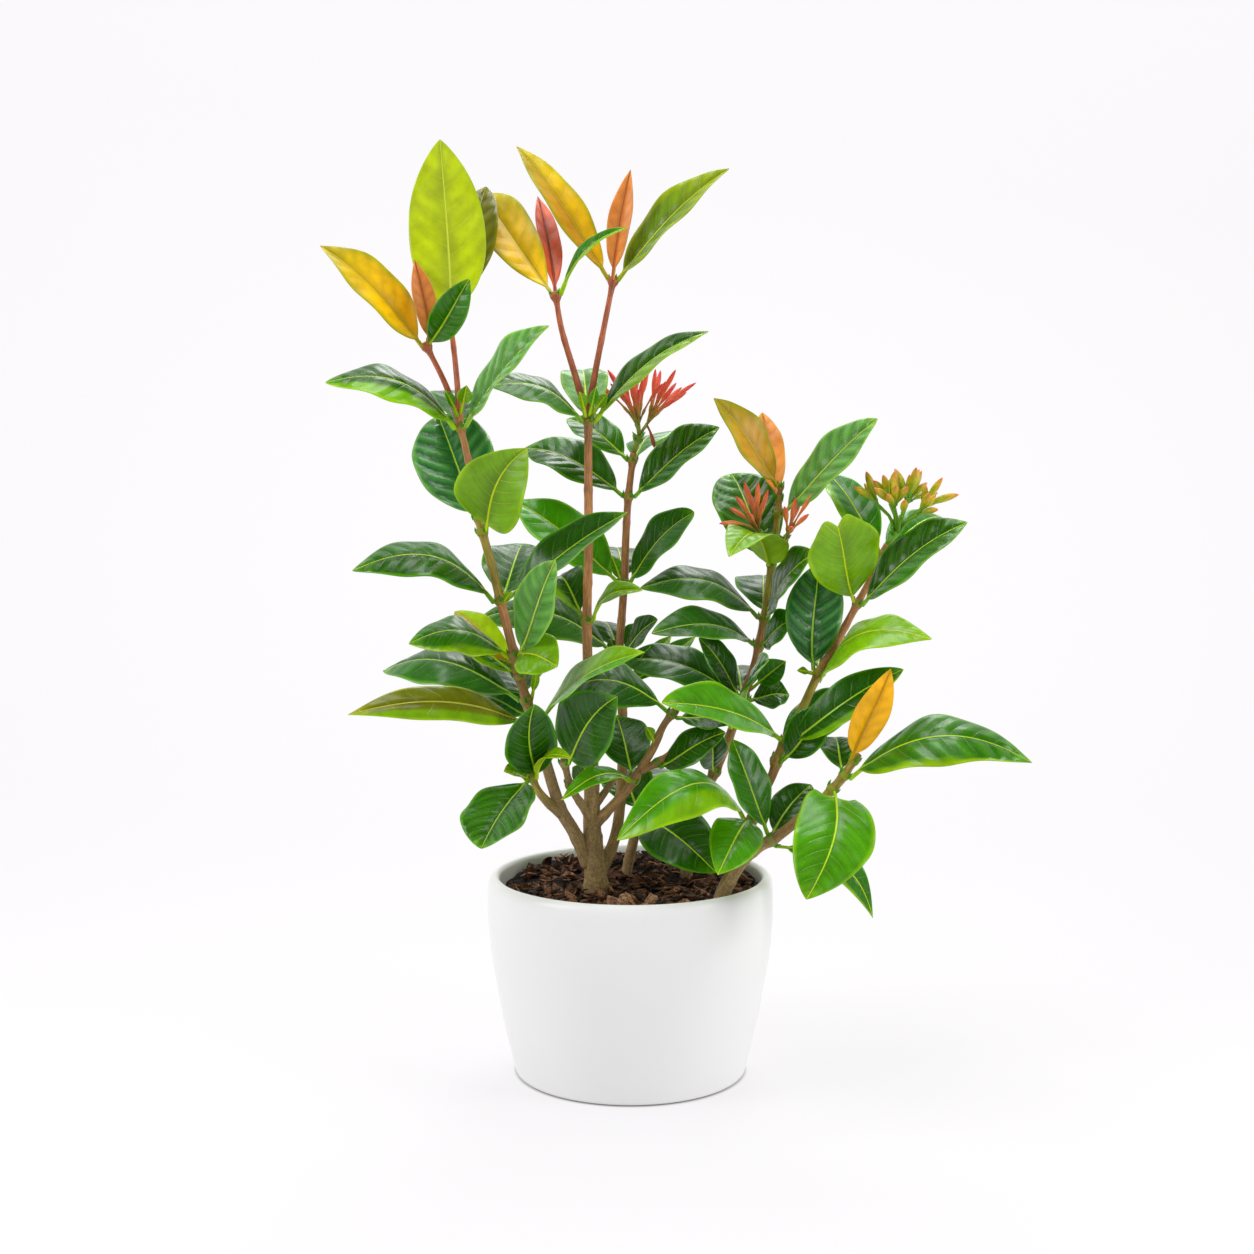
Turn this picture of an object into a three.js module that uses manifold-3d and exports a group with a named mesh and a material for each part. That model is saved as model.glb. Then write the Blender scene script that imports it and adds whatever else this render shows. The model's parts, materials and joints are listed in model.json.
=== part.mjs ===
// An ixora in a white glazed pot. Millimetres, +Z up, origin at the middle of the pot's base.
// Woody stems stand in holes in the bark mix. Each whorl of leaves is one solid: its blades grow
// from a collar of stipules that fits round the stem. The heads of buds sit on the stems' tips.
import * as THREE from 'three';
import { mergeVertices } from 'three/addons/utils/BufferGeometryUtils.js';
import Module from 'manifold-3d';

const wasm = await Module();
wasm.setup();

// ---- driving dimensions ---------------------------------------------------------------------
const POT_HEIGHT = 126.5;
const RIM_RADIUS = 90;
const MOUTH_RADIUS = 82.6;
const BASE_RADIUS = 71.5;
const POT_SIDES = 40;
const FLOOR_THICKNESS = 6;
const SEAT_GAP = 0.35;            // between pieces that touch
const MERGE_TOLERANCE = 0.1;     // slivers thinner than this are merged away

const SOIL_LEVEL = 117;
const SOIL_RINGS = 5;
const SOIL_SPOKES = 20;
const MOUND = { x: -20, y: -20, height: 3, spread: 30 };  // round the trunk's foot
const EDGE_DROP = 5;
const FRONT_RIGHT_RISE = 0.025;
const BARK_CHIPS = 24;
const CHIP_LENGTH = 15;
const CHIP_TILT = 0.45;           // either way, in radians

const STEM_SIDES = 6;
const STEM_STEP = 20;
const COLLAR_LENGTH = 3.4;
const COLLAR_WALL = 1.3;
const COLLAR_PLAY = 0.55;         // round the stem, which bends

const STALK_SEAT = 0.8;           // depth of a stalk's foot in the collar's wall
const BLADE_THICKNESS = 0.8;
const STALK_THICKNESS = 1.4;
const STALK_SHARE = 0.07;         // of a leaf's length
const STALK_HALF_WIDTH = 1.1;
const WAVE = 0.035;               // of a leaf's width
const WAVES_PER_LEAF = 2.25;
const BLADE_STATIONS = [0, 0.14, 0.36, 0.64, 0.88, 1];
const SMALL_STATIONS = [0, 0.18, 0.48, 0.82, 1];
const SMALL_WIDTH = 31;
const OUTSET = 5;                 // how far a leaf stands out from its stem before it turns

const BUD_SIDES = 4;
const BUD_STATIONS = [[0.06, 0.8], [0.62, 0.8], [0.85, 2.3], [1, 0]];  // share of length, radius
const SHORTEST_BUD = 0.82;        // share of a head's bud length
const LONGEST_BUD = 1.12;
const CORE_RADIUS = 3.4;
const HEAD_STALK_RADIUS = 1.7;
const LOOSE_STALK_RADIUS = 1.2;
const GOLDEN_ANGLE = Math.PI * (3 - Math.sqrt(5));

const COLOURS = {
  dark: 0x1f5c22,
  mid: 0x3a7d1f,
  lime: 0x86a814,
  gold: 0xd9ab1c,
  orange: 0xdd7c44,
  red: 0xc04f3a,
  wood: 0x6b4a30,
  bark: 0x3a2417,
  glaze: 0xf1f2ee,
  redBud: 0xcf4a38,
  orangeBud: 0xd8642e,
  yellowBud: 0xb9b53a,
};

// ---- small helpers --------------------------------------------------------------------------
const vec = ([x, y, z]) => new THREE.Vector3(x, y, z);
const ahead = (point, direction, distance) => point.clone().addScaledVector(direction, distance);

function seeded(seed) {
  let state = seed;
  return () => {
    state = (state * 1664525 + 1013904223) % 4294967296;
    return state / 4294967296;
  };
}

function solidOf(geometry) {
  const bare = geometry.index ? geometry.clone() : mergeVertices(geometry);
  bare.deleteAttribute('normal');
  bare.deleteAttribute('uv');
  const merged = mergeVertices(bare, 1e-4);
  return new wasm.Manifold(new wasm.Mesh({
    numProp: 3,
    vertProperties: new Float32Array(merged.attributes.position.array),
    triVerts: new Uint32Array(merged.index.array),
  }));
}

function solidFrom(vertices, triangles) {
  return new wasm.Manifold(new wasm.Mesh({
    numProp: 3,
    vertProperties: new Float32Array(vertices.flatMap((v) => [v.x, v.y, v.z])),
    triVerts: new Uint32Array(triangles.flat()),
  }));
}

function union(solids) {
  return solids.reduce((whole, solid) => whole.add(solid));
}

function largestPiece(solid) {
  const pieces = solid.decompose();
  pieces.sort((a, b) => b.volume() - a.volume());
  return pieces[0];
}

function meshOf(name, solid, colour, roughness) {
  const { vertProperties, triVerts } = largestPiece(solid).simplify(MERGE_TOLERANCE).getMesh();
  const geometry = new THREE.BufferGeometry();
  geometry.setAttribute('position', new THREE.BufferAttribute(new Float32Array(vertProperties), 3));
  geometry.setIndex(new THREE.BufferAttribute(new Uint32Array(triVerts), 1));
  geometry.computeVertexNormals();
  const material = new THREE.MeshStandardMaterial({ color: colour, roughness, metalness: 0 });
  const mesh = new THREE.Mesh(geometry, material);
  mesh.name = name;
  return mesh;
}

// A closed tube through points with a radius at each. A last radius of 0 makes a pointed end.
function loft(points, radii, sides) {
  const vertices = [];
  const triangles = [];
  const rings = [];
  let across = new THREE.Vector3(1, 0.2, 0.1);
  points.forEach((point, i) => {
    const before = points[Math.max(i - 1, 0)];
    const after = points[Math.min(i + 1, points.length - 1)];
    const along = after.clone().sub(before).normalize();
    across = across.clone().addScaledVector(along, -across.dot(along)).normalize();
    const upright = along.clone().cross(across);
    const ring = [];
    const corners = radii[i] > 0 ? sides : 1;
    for (let k = 0; k < corners; k += 1) {
      const turn = (2 * Math.PI * k) / sides;
      ring.push(vertices.length);
      const corner = ahead(point, across, Math.cos(turn) * radii[i]);
      vertices.push(ahead(corner, upright, Math.sin(turn) * radii[i]));
    }
    rings.push(ring);
  });
  for (let i = 1; i < rings.length; i += 1) {
    const low = rings[i - 1];
    const high = rings[i];
    for (let k = 0; k < sides; k += 1) {
      const next = (k + 1) % sides;
      if (high.length === 1) {
        triangles.push([low[k], low[next], high[0]]);
      } else {
        triangles.push([low[k], low[next], high[next]], [low[k], high[next], high[k]]);
      }
    }
  }
  const closeEnd = (ring, flip) => {
    for (let k = 1; k < ring.length - 1; k += 1) {
      triangles.push(flip ? [ring[0], ring[k + 1], ring[k]] : [ring[0], ring[k], ring[k + 1]]);
    }
  };
  closeEnd(rings[0], true);
  closeEnd(rings[rings.length - 1], false);
  return solidFrom(vertices, triangles);
}

// ---- pot ------------------------------------------------------------------------------------
const POT_OUTSIDE = [
  [BASE_RADIUS, 0], [73, 1.4], [74.4, 7], [79.8, 30], [83.9, 52.5], [87.8, 75.5],
  [RIM_RADIUS, 101], [RIM_RADIUS, 115], [89.1, 121.5], [86.4, POT_HEIGHT],
];
const POT_INSIDE = [
  [83.6, 125], [MOUTH_RADIUS, 121], [82, 98], [77, 54], [71, 20], [66, FLOOR_THICKNESS],
];

function latheSolid(outline, sides) {
  const points = outline.map(([radius, height]) => new THREE.Vector2(radius, height));
  const geometry = new THREE.LatheGeometry(points, sides);
  geometry.rotateX(Math.PI / 2);
  return solidOf(geometry);
}

const potSolid = latheSolid([[0, 0], ...POT_OUTSIDE, ...POT_INSIDE, [0, FLOOR_THICKNESS]], POT_SIDES);

// ---- stems: [x, y, z, radius] along each -----------------------------------------------------
const STEMS = {
  centre: [
    [-19, -22, 76, 8], [-21, -20, 118, 7.7], [-24, -16, 160, 5.8], [-24, -14, 190, 4.4],
    [-26, -13, 245, 3.2], [-27, -14, 288, 3], [-26, -12, 325, 2.8], [-26, -10, 368, 2.6],
    [-26, -8, 416, 2.3],
  ],
  centre_left: [[-26, -8, 412, 2.2], [-35, -11, 442, 2], [-42, -16, 466, 1.8], [-46, -20, 491, 1.5]],
  centre_right: [[-26, -8, 412, 2.2], [-22, -4, 439, 2], [-16, 2, 470, 1.8], [-10, 6, 500, 1.5]],
  left: [
    [-26, -18, 136, 4.4], [-36, -23, 159, 4], [-43, -26, 172, 3.8], [-47, -29, 185, 3.4],
    [-53, -33, 207, 3.2], [-63, -39, 241, 3], [-70, -43, 269, 2.8], [-78, -46, 303, 2.7],
    [-84, -46, 327, 2.6], [-90, -44, 349, 2.4], [-96, -40, 381, 2.2], [-103, -36, 411, 2],
  ],
  left_tip: [[-102, -36.5, 407, 1.9], [-111, -34, 432, 1.7], [-121.5, -32, 459, 1.4]],
  left_fork: [[-102, -36.5, 407, 1.9], [-105, -30, 441, 1.7], [-109, -24, 474, 1.4]],
  back: [
    [-20, -18, 128, 4], [-10, -8, 150, 3.6], [-6, 6, 178, 3.2], [-5, 18, 223, 2.9],
    [-7, 26, 262, 2.7], [-4, 32, 308, 2.5], [-2, 36, 355, 2.3], [2, 38, 391, 2],
  ],
  low_right: [
    [-23, -17, 160, 3.2], [-10, -22, 175, 2.9], [-1, -27, 186, 2.7], [6, -31, 198, 2.5],
    [14, -35, 212, 2.4], [20, -37, 226, 2.2], [28, -38, 237, 2],
  ],
  low_fork: [[6, -31, 197, 2.2], [18, -36, 204, 2], [30, -40, 214, 1.7]],
  left_twig: [[-43, -26, 170, 3], [-50, -32, 177, 2.7], [-57, -38, 187, 2.4], [-61, -42, 199, 2]],
  low_twig: [[-24, -16, 163, 3], [-30, -22, 174, 2.6], [-37, -30, 188, 2.3], [-41, -34, 205, 1.9]],
  bare_twig: [[-23, -16, 172, 2.4], [-17, -12, 179, 2.1], [-10, -5, 188, 1.7]],
  short_stem: [
    [-8, 29, 80, 3.6], [-3, 25, 118, 3.5], [2, 20, 143, 3.2], [6, 17, 160, 2.6], [9, 14, 170, 2],
  ],
  middle: [
    [34, 24, 80, 4.2], [36, 20, 119, 4], [38, 18, 142, 3.7], [42, 15, 163, 3.4], [54, 19, 188, 3.2],
    [64, 24, 211, 3], [72, 28, 233, 2.9], [80, 31, 256, 2.8], [83, 32, 270, 2.7],
    [86, 33, 285, 2.6], [90, 33, 317, 2.4], [93, 31, 343, 2.2], [96, 30, 373, 1.8],
  ],
  low_right_stem: [
    [48, -36, 80, 5.4], [55, -38, 117, 5.2], [60, -38, 130, 4.6], [68, -38, 142, 4],
    [78, -39, 151, 3.4], [89, -41, 158, 3.1], [102, -43, 169, 2.9], [124, -45, 190, 2.6],
    [138, -45, 210, 2.2],
  ],
  right_tall: [
    [65, -38, 138, 3.2], [71, -30, 155, 3.1], [76, -24, 170, 3], [88, -16, 192, 2.9],
    [93, -13, 206, 2.8], [106, -8, 230, 2.7], [117, -4, 253, 2.6], [130, 0, 275, 2.5],
    [142, 3, 297, 2.3], [152, 4, 316, 2.1], [160, 4, 334, 1.9],
  ],
};

const WOOD = {
  stem_main: [
    'centre', 'centre_left', 'centre_right', 'left', 'left_tip', 'left_fork', 'back',
    'low_right', 'low_fork', 'left_twig', 'low_twig', 'bare_twig',
  ],
  stem_short: ['short_stem'],
  stem_middle: ['middle'],
  stem_right: ['low_right_stem', 'right_tall'],
};

function stemRadius(stem, height) {
  const rows = STEMS[stem];
  const upper = rows.findIndex((row) => row[2] >= height);
  if (upper <= 0) {
    return upper === 0 ? rows[0][3] : rows[rows.length - 1][3];
  }
  const [low, high] = [rows[upper - 1], rows[upper]];
  const share = (height - low[2]) / (high[2] - low[2]);
  return low[3] + (high[3] - low[3]) * share;
}

function stemPoints(stem) {
  const curve = new THREE.CatmullRomCurve3(STEMS[stem].map(vec), false, 'centripetal');
  return curve.getSpacedPoints(Math.ceil(curve.getLength() / STEM_STEP));
}

function stemSolid(stem, extra = 0) {
  const points = stemPoints(stem);
  const radii = points.map((point) => stemRadius(stem, point.z) + extra);
  const below = points[0].clone().sub(points[1]).normalize();
  points[0].addScaledVector(below, extra);
  return loft(points, radii, STEM_SIDES);
}

// The point on a stem at a height, with the stem's direction and radius there.
function onStem(stem, height) {
  const points = stemPoints(stem);
  const found = points.findIndex((point) => point.z > height);
  const upper = found < 0 ? points.length - 1 : Math.max(found, 1);
  const [low, high] = [points[upper - 1], points[upper]];
  const along = high.clone().sub(low).normalize();
  const share = (height - low.z) / (high.z - low.z);
  const [wide, slim] = [stemRadius(stem, low.z), stemRadius(stem, high.z)];
  return { point: low.clone().lerp(high, share), along, radius: wide + (slim - wide) * share };
}

// ---- leaves ---------------------------------------------------------------------------------
// Where a blade is widest, as a share of its length, and the powers of its base and its tip:
// small ones are blunt, large ones pointed.
const OUTLINES = {
  plain: { widest: 0.5, base: 0.7, point: 0.82 },
  pointed: { widest: 0.46, base: 0.68, point: 1 },
  round: { widest: 0.55, base: 0.62, point: 0.6 },
  broad: { widest: 0.42, base: 0.52, point: 0.85 },
  obovate: { widest: 0.64, base: 0.85, point: 0.52 },
};

// tip, width, arch (rise of the midrib as a share of the length), the way the upper face looks,
// fold (rise of the edges as a share of the half width), and where they aren't the usual ones
// the outline, the bow (sideways swing of the midrib as a share of the length) and the stalk.
function leaf(tip, width, arch, face, fold, { outline = 'plain', bow = 0, stalk = STALK_SHARE } = {}) {
  return { tip, width, arch, face, fold, outline: OUTLINES[outline], bow, stalk };
}

function halfWidth(t, { width, outline, stalk }) {
  const share = Math.max(t - stalk, 0) / (1 - stalk);
  const { widest, base, point } = outline;
  const inner = share < widest;
  const place = inner ? share / widest : (1 - share) / (1 - widest);
  const oval = (1 - (1 - place) ** 2.1) ** (inner ? base : point);
  return Math.max((width / 2) * oval, STALK_HALF_WIDTH * (1 - t));
}

function bladeSolid(row, joint, phase) {
  const { tip, width, arch, face, fold, bow, stalk } = row;
  const end = vec(tip);
  const outward = end.clone().sub(joint.point);
  outward.addScaledVector(joint.along, -outward.dot(joint.along)).normalize();
  const start = ahead(joint.point, outward, joint.radius + COLLAR_PLAY + STALK_SEAT);
  const chord = end.clone().sub(start);
  const length = chord.length();
  const direction = chord.clone().normalize();
  const up = vec(face);
  up.addScaledVector(direction, -up.dot(direction)).normalize();
  const side = direction.clone().cross(up);
  const rise = up.clone().multiplyScalar(arch * length * 4 / 3);
  rise.addScaledVector(side, bow * length * 4 / 3);
  const midrib = new THREE.CubicBezierCurve3(
    start,
    ahead(start, direction, length / 3).add(rise).addScaledVector(outward, OUTSET),
    ahead(start, direction, length * 2 / 3).add(rise),
    end,
  );
  const vertices = [];
  const stations = width > SMALL_WIDTH ? BLADE_STATIONS : SMALL_STATIONS;
  const rows = stations.map((t) => {
    const point = midrib.getPoint(t);
    const along = midrib.getTangent(t);
    const normal = side.clone().cross(along).normalize();
    const half = halfWidth(t, row);
    const stalky = Math.max(1 - t / (2 * stalk), 0);
    const thick = BLADE_THICKNESS + (STALK_THICKNESS - BLADE_THICKNESS) * stalky;
    const places = t === 1 ? [0] : [-1, 0, 1];
    return places.map((place) => {
      const wave = WAVE * width * Math.sin(2 * Math.PI * WAVES_PER_LEAF * t + phase + place);
      const lift = (fold * half + wave * (half / width) * 2) * Math.abs(place);
      const middle = ahead(ahead(point, side, place * half), normal, lift);
      vertices.push(ahead(middle, normal, thick / 2), ahead(middle, normal, -thick / 2));
      return vertices.length - 2;
    });
  });
  const triangles = [];
  const top = (a, b, c) => {
    triangles.push([a, b, c], [a + 1, c + 1, b + 1]);
  };
  const wall = (a, b) => {
    triangles.push([a, a + 1, b + 1], [a, b + 1, b]);
  };
  for (let i = 1; i < rows.length; i += 1) {
    const [low, high] = [rows[i - 1], rows[i]];
    if (high.length === 1) {
      top(low[0], low[1], high[0]);
      top(low[1], low[2], high[0]);
      wall(low[2], high[0]);
      wall(high[0], low[0]);
    } else {
      top(low[0], low[1], high[1]);
      top(low[0], high[1], high[0]);
      top(low[1], low[2], high[1]);
      top(low[2], high[2], high[1]);
      wall(low[2], high[2]);
      wall(high[0], low[0]);
    }
  }
  const [first] = rows;
  wall(first[0], first[1]);
  wall(first[1], first[2]);
  return solidFrom(vertices, triangles);
}

// A ring round the stem, with a hole whose flats clear it.
function collarSolid({ point, along, radius }) {
  const hole = (radius + COLLAR_PLAY) / Math.cos(Math.PI / STEM_SIDES);
  const outer = hole + COLLAR_WALL;
  const half = COLLAR_LENGTH / 2;
  const outline = [[hole, -half], [outer, -half], [outer, half], [hole, half], [hole, -half]];
  const ring = new THREE.LatheGeometry(outline.map(([r, h]) => new THREE.Vector2(r, h)), STEM_SIDES);
  const turn = new THREE.Quaternion().setFromUnitVectors(new THREE.Vector3(0, 1, 0), along);
  ring.applyQuaternion(turn);
  ring.translate(point.x, point.y, point.z);
  return solidOf(ring);
}

const group = new THREE.Group();

function whorl(name, stem, height, colour, leaves) {
  const joint = onStem(stem, height);
  const blades = leaves.map((row, i) => bladeSolid(row, joint, i * 2.1 + height));
  group.add(meshOf(name, union([collarSolid(joint), ...blades]), COLOURS[colour], 0.4));
}

// tips of the left stem
whorl('upper_left_lime', 'left_fork', 471.5, 'lime', [
  leaf([-113, -34, 576], 46, -0.06, [0, -1, 0.15], 0.1, { outline: 'broad' }),
]);
whorl('upper_left_shade', 'left_fork', 463, 'dark', [
  leaf([-90, 22, 556], 34, 0.06, [-0.3, -1, 0.5], 0.15, { stalk: 0.16 }),
]);
whorl('upper_left_gold', 'left_tip', 457, 'gold', [
  leaf([-182, -52, 512], 32, 0.1, [-0.3, -0.7, 1], 0.25, { outline: 'pointed' }),
]);
whorl('upper_left_folded', 'left_tip', 450, 'dark', [
  leaf([-94, -62, 491], 21, 0.1, [0.5, -0.8, 0.6], 0.5, { stalk: 0.2 }),
]);
whorl('upper_left_orange', 'left_tip', 442, 'orange', [
  leaf([-126, -50, 503], 17, 0.05, [0.3, -1, 0.2], 0.3, { outline: 'pointed', stalk: 0.3 }),
]);

// tips of the centre stem
whorl('top_gold', 'centre_left', 489, 'gold', [
  leaf([-93, 34, 552], 32, 0.06, [-0.4, -0.9, 0.6], 0.2, { outline: 'obovate' }),
]);
whorl('top_red', 'centre_left', 482, 'red', [
  leaf([-55, 2, 547], 14, 0.04, [0.4, -1, 0.2], 0.3, { outline: 'pointed', stalk: 0.3 }),
]);
whorl('top_slender', 'centre_left', 475, 'mid', [
  leaf([-2, -48, 523], 13, 0.16, [0.2, -0.8, 1], 0.2, { outline: 'pointed', stalk: 0.25 }),
]);
whorl('top_olive', 'centre_right', 498, 'gold', [
  leaf([-71, 24, 581], 26, 0.06, [0.5, -0.9, 0.6], 0.2, { outline: 'pointed' }),
]);
whorl('top_orange', 'centre_right', 491, 'orange', [
  leaf([0, -8, 562], 17, 0.03, [-0.4, -1, 0.1], 0.25, { outline: 'pointed', stalk: 0.25 }),
]);
whorl('top_green', 'centre_right', 484, 'mid', [
  leaf([59, -20, 561], 34, 0.07, [-0.3, -0.8, 1], 0.25, { outline: 'pointed', stalk: 0.15 }),
]);

// left stem, from the top down
whorl('crown_left', 'left', 402, 'dark', [
  leaf([-178, -66, 432], 38, 0.22, [-0.1, -0.65, 1], -0.2),
  leaf([-47, -78, 464], 38, 0.06, [-0.6, -0.8, 1], 0.2, { outline: 'pointed' }),
  leaf([-112, 42, 424], 36, 0.18, [0, 0.4, 1], -0.1),
]);
whorl('left_second', 'left', 352, 'dark', [
  leaf([-121, 24, 414], 50, 0.02, [-0.1, -1, 0.6], 0.1, { outline: 'round' }),
]);
whorl('left_second_lime', 'left', 344, 'lime', [
  leaf([-60, -74, 393], 40, 0.05, [-0.3, -1, 0.3], 0.2, { outline: 'broad', bow: -0.12, stalk: 0.14 }),
]);
whorl('left_third', 'left', 303, 'dark', [
  leaf([-162, -78, 323], 40, 0.26, [0, -0.6, 1], -0.15),
  leaf([-2, -52, 356], 32, 0.05, [-0.4, -0.8, 1], 0.3, { outline: 'pointed' }),
  leaf([-68, 14, 334], 40, 0.08, [0, -0.9, 1], 0.1),
]);
whorl('left_fourth', 'left', 270, 'dark', [
  leaf([-131, -66, 279], 38, 0.25, [0, -0.6, 1], -0.2),
  leaf([-44, -74, 329], 30, 0.05, [-0.5, -1, 0.3], 0.2),
  leaf([-43, -80, 277], 24, 0.1, [0, -1, 0.8], 0.1),
]);
whorl('left_fourth_young', 'left', 262, 'gold', [
  leaf([-109, -8, 293], 18, 0.12, [0.1, -0.8, 0.8], 0.1),
]);
whorl('left_fifth', 'left', 242, 'dark', [
  leaf([-154, -8, 256], 40, 0.2, [0, -0.55, 1], -0.2),
  leaf([-84, 36, 258], 46, 0.08, [0, -0.9, 1], 0.1),
]);
whorl('left_fifth_lime', 'left', 224, 'lime', [
  leaf([-163, -96, 241], 36, 0.14, [0, -0.3, 1], -0.1, { outline: 'pointed' }),
  leaf([10, -84, 273], 34, 0.1, [-0.3, -0.5, 1], 0.15, { outline: 'pointed' }),
]);
whorl('left_twig_leaves', 'left_twig', 195, 'mid', [
  leaf([-57, -66, 243], 32, 0.05, [0.3, -1, 0.3], 0.15),
  leaf([-91, -84, 158], 44, 0.06, [-0.6, -1, 0.5], 0.2, { outline: 'round' }),
  leaf([-36, -80, 212], 18, 0.2, [0, -0.8, 1], 0.2),
  leaf([-76, -56, 201], 14, 0.2, [0, -0.8, 1], 0.2),
]);

// centre stem
whorl('centre_crown', 'centre', 405, 'dark', [
  leaf([-85, -34, 431], 33, 0.2, [0.1, -0.65, 1], -0.15),
  leaf([47, -26, 464], 32, 0.08, [-0.4, -0.5, 1], 0.25, { outline: 'pointed' }),
  leaf([-31, 56, 444], 30, 0.15, [0, -0.8, 1], 0.1),
]);
whorl('centre_middle', 'centre', 288, 'mid', [
  leaf([-49, 22, 304], 28, 0.5, [0, -0.8, 1], 0.1),
  leaf([7, -44, 309], 18, 0.22, [0, -0.8, 1], 0.15),
]);
whorl('low_twig_leaves', 'low_twig', 202, 'mid', [
  leaf([-8, -76, 249], 34, 0.04, [-0.5, -1, 0.5], 0.15),
]);
whorl('low_twig_small', 'low_twig', 188, 'dark', [
  leaf([-27, -44, 202], 15, 0.1, [0, -1, 0.5], 0.1),
]);

// back stem, which carries the red head
whorl('back_crown', 'back', 386, 'mid', [
  leaf([-41, 60, 413], 30, 0.12, [0.2, -0.7, 1], 0.1),
  leaf([30, 108, 392], 32, 0.2, [0, 0.5, 1], -0.1),
]);
whorl('back_second', 'back', 363, 'dark', [
  leaf([56, 22, 407], 36, 0.08, [-0.3, -0.8, 1], 0.2),
  leaf([-69, 66, 394], 40, 0.13, [0.2, -0.8, 1], 0.1),
]);
whorl('back_third', 'back', 308, 'dark', [
  leaf([40, 14, 354], 34, 0.12, [-0.4, -0.8, 1], 0.1, { outline: 'round' }),
  leaf([-77, 62, 360], 42, 0.08, [0.3, -0.9, 0.9], 0.15, { outline: 'pointed' }),
  leaf([-14, 112, 318], 38, 0.2, [0, 0.5, 1], -0.1),
]);
whorl('back_fourth', 'back', 263, 'dark', [
  leaf([-96, 22, 286], 42, 0.22, [0.2, -0.65, 1], -0.1),
  leaf([17, 6, 287], 24, 0.1, [-0.2, -0.8, 1], 0.1),
  leaf([-30, 108, 262], 40, 0.22, [0, 0.5, 1], -0.1),
]);

// low right branch of the trunk
whorl('low_branch', 'low_right', 233, 'dark', [
  leaf([-47, -27, 242], 36, 0.27, [0, -0.6, 1], -0.15),
  leaf([64, -44, 230], 22, 0.1, [0, -0.8, 1], 0.1),
]);
whorl('low_branch_upper', 'low_right', 191, 'dark', [
  leaf([-9, 14, 225], 34, 0.08, [0.2, -1, 0.6], 0.1),
  leaf([-41, -74, 187], 20, 0.2, [0, -0.8, 1], 0.1),
]);

// middle stem
whorl('middle_gold', 'middle', 369.6, 'gold', [
  leaf([52, 14, 425], 32, 0.08, [0.4, -0.9, 0.7], 0.2, { outline: 'pointed' }),
]);
whorl('middle_orange', 'middle', 362, 'orange', [
  leaf([84, 66, 412], 18, 0.04, [0.2, -1, 0.2], 0.2),
]);
whorl('middle_green', 'middle', 352, 'mid', [
  leaf([153, 2, 412], 36, 0.05, [-0.4, -0.8, 0.9], 0.15),
]);
whorl('middle_first', 'middle', 320, 'dark', [
  leaf([63, -20, 322], 34, 0.28, [-0.2, -0.7, 1], 0.1, { outline: 'broad' }),
  leaf([67, 78, 377], 44, 0.1, [0, -0.9, 1], 0.1, { outline: 'round' }),
]);
whorl('middle_second', 'middle', 285, 'dark', [
  leaf([6, 14, 306], 38, 0.22, [0.1, -0.6, 1], -0.15),
  leaf([113, -14, 330], 40, 0.1, [-0.4, -0.8, 1], 0.1),
  leaf([92, 112, 300], 38, 0.22, [0, 0.5, 1], -0.1),
]);
whorl('middle_third', 'middle', 268, 'mid', [
  leaf([13, -14, 280], 30, 0.15, [0.1, -0.8, 1], 0.1),
  leaf([104, 4, 288], 26, 0.12, [-0.3, -0.9, 0.8], 0.1),
]);
whorl('middle_fourth', 'middle', 234, 'dark', [
  leaf([-7, 42, 257], 38, 0.15, [0.2, -0.7, 1], 0),
  leaf([102, 28, 236], 28, 0.15, [0, -0.7, 1], 0.1),
  leaf([84, -32, 265], 28, 0.05, [-0.1, -1, 0.7], 0.1),
  leaf([43, 8, 275], 24, 0.1, [0.3, -0.9, 0.8], 0.1),
  leaf([70, 104, 236], 36, 0.22, [0, 0.5, 1], -0.1),
]);
whorl('middle_low', 'middle', 188, 'dark', [
  leaf([49, -10, 220], 20, 0.1, [0, -0.9, 0.8], 0.1),
]);

// tall right stem, which carries the yellow-green head
whorl('right_top', 'right_tall', 328, 'dark', [
  leaf([128, 58, 378], 30, 0.08, [0.3, -0.9, 0.8], 0.15, { outline: 'pointed' }),
  leaf([203, 56, 360], 30, 0.1, [-0.3, -0.9, 0.8], 0.15),
]);
whorl('right_crown', 'right_tall', 297, 'lime', [
  leaf([129, -18, 346], 44, 0.05, [0, -1, 0.5], 0.1, { outline: 'obovate' }),
  leaf([205, -24, 349], 38, 0.1, [-0.4, -0.7, 1], 0.15),
]);
whorl('right_second', 'right_tall', 254, 'dark', [
  leaf([117, 8, 327], 36, 0.06, [0, -1, 0.5], 0.1),
  leaf([179, -58, 283], 38, 0.24, [0, -0.7, 1], -0.1, { outline: 'broad' }),
  leaf([134, 74, 262], 36, 0.2, [0, 0.5, 1], -0.1),
]);
whorl('right_third', 'right_tall', 212, 'lime', [
  leaf([18, -80, 246], 36, 0.08, [0.3, -0.8, 1], 0.2),
  leaf([166, -34, 260], 30, 0.12, [-0.3, -1, 0.5], 0.15),
]);
whorl('right_third_low', 'right_tall', 199, 'dark', [
  leaf([151, 52, 235], 36, 0.12, [-0.3, -0.8, 1], 0.1),
]);
whorl('rim_leaves', 'right_tall', 164, 'mid', [
  leaf([51, -86, 145], 32, 0.15, [0, -1, 0.6], -0.05, { outline: 'broad', stalk: 0.12 }),
  leaf([-8, -84, 165], 42, 0.36, [0.1, -0.6, 1], -0.2),
]);

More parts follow.
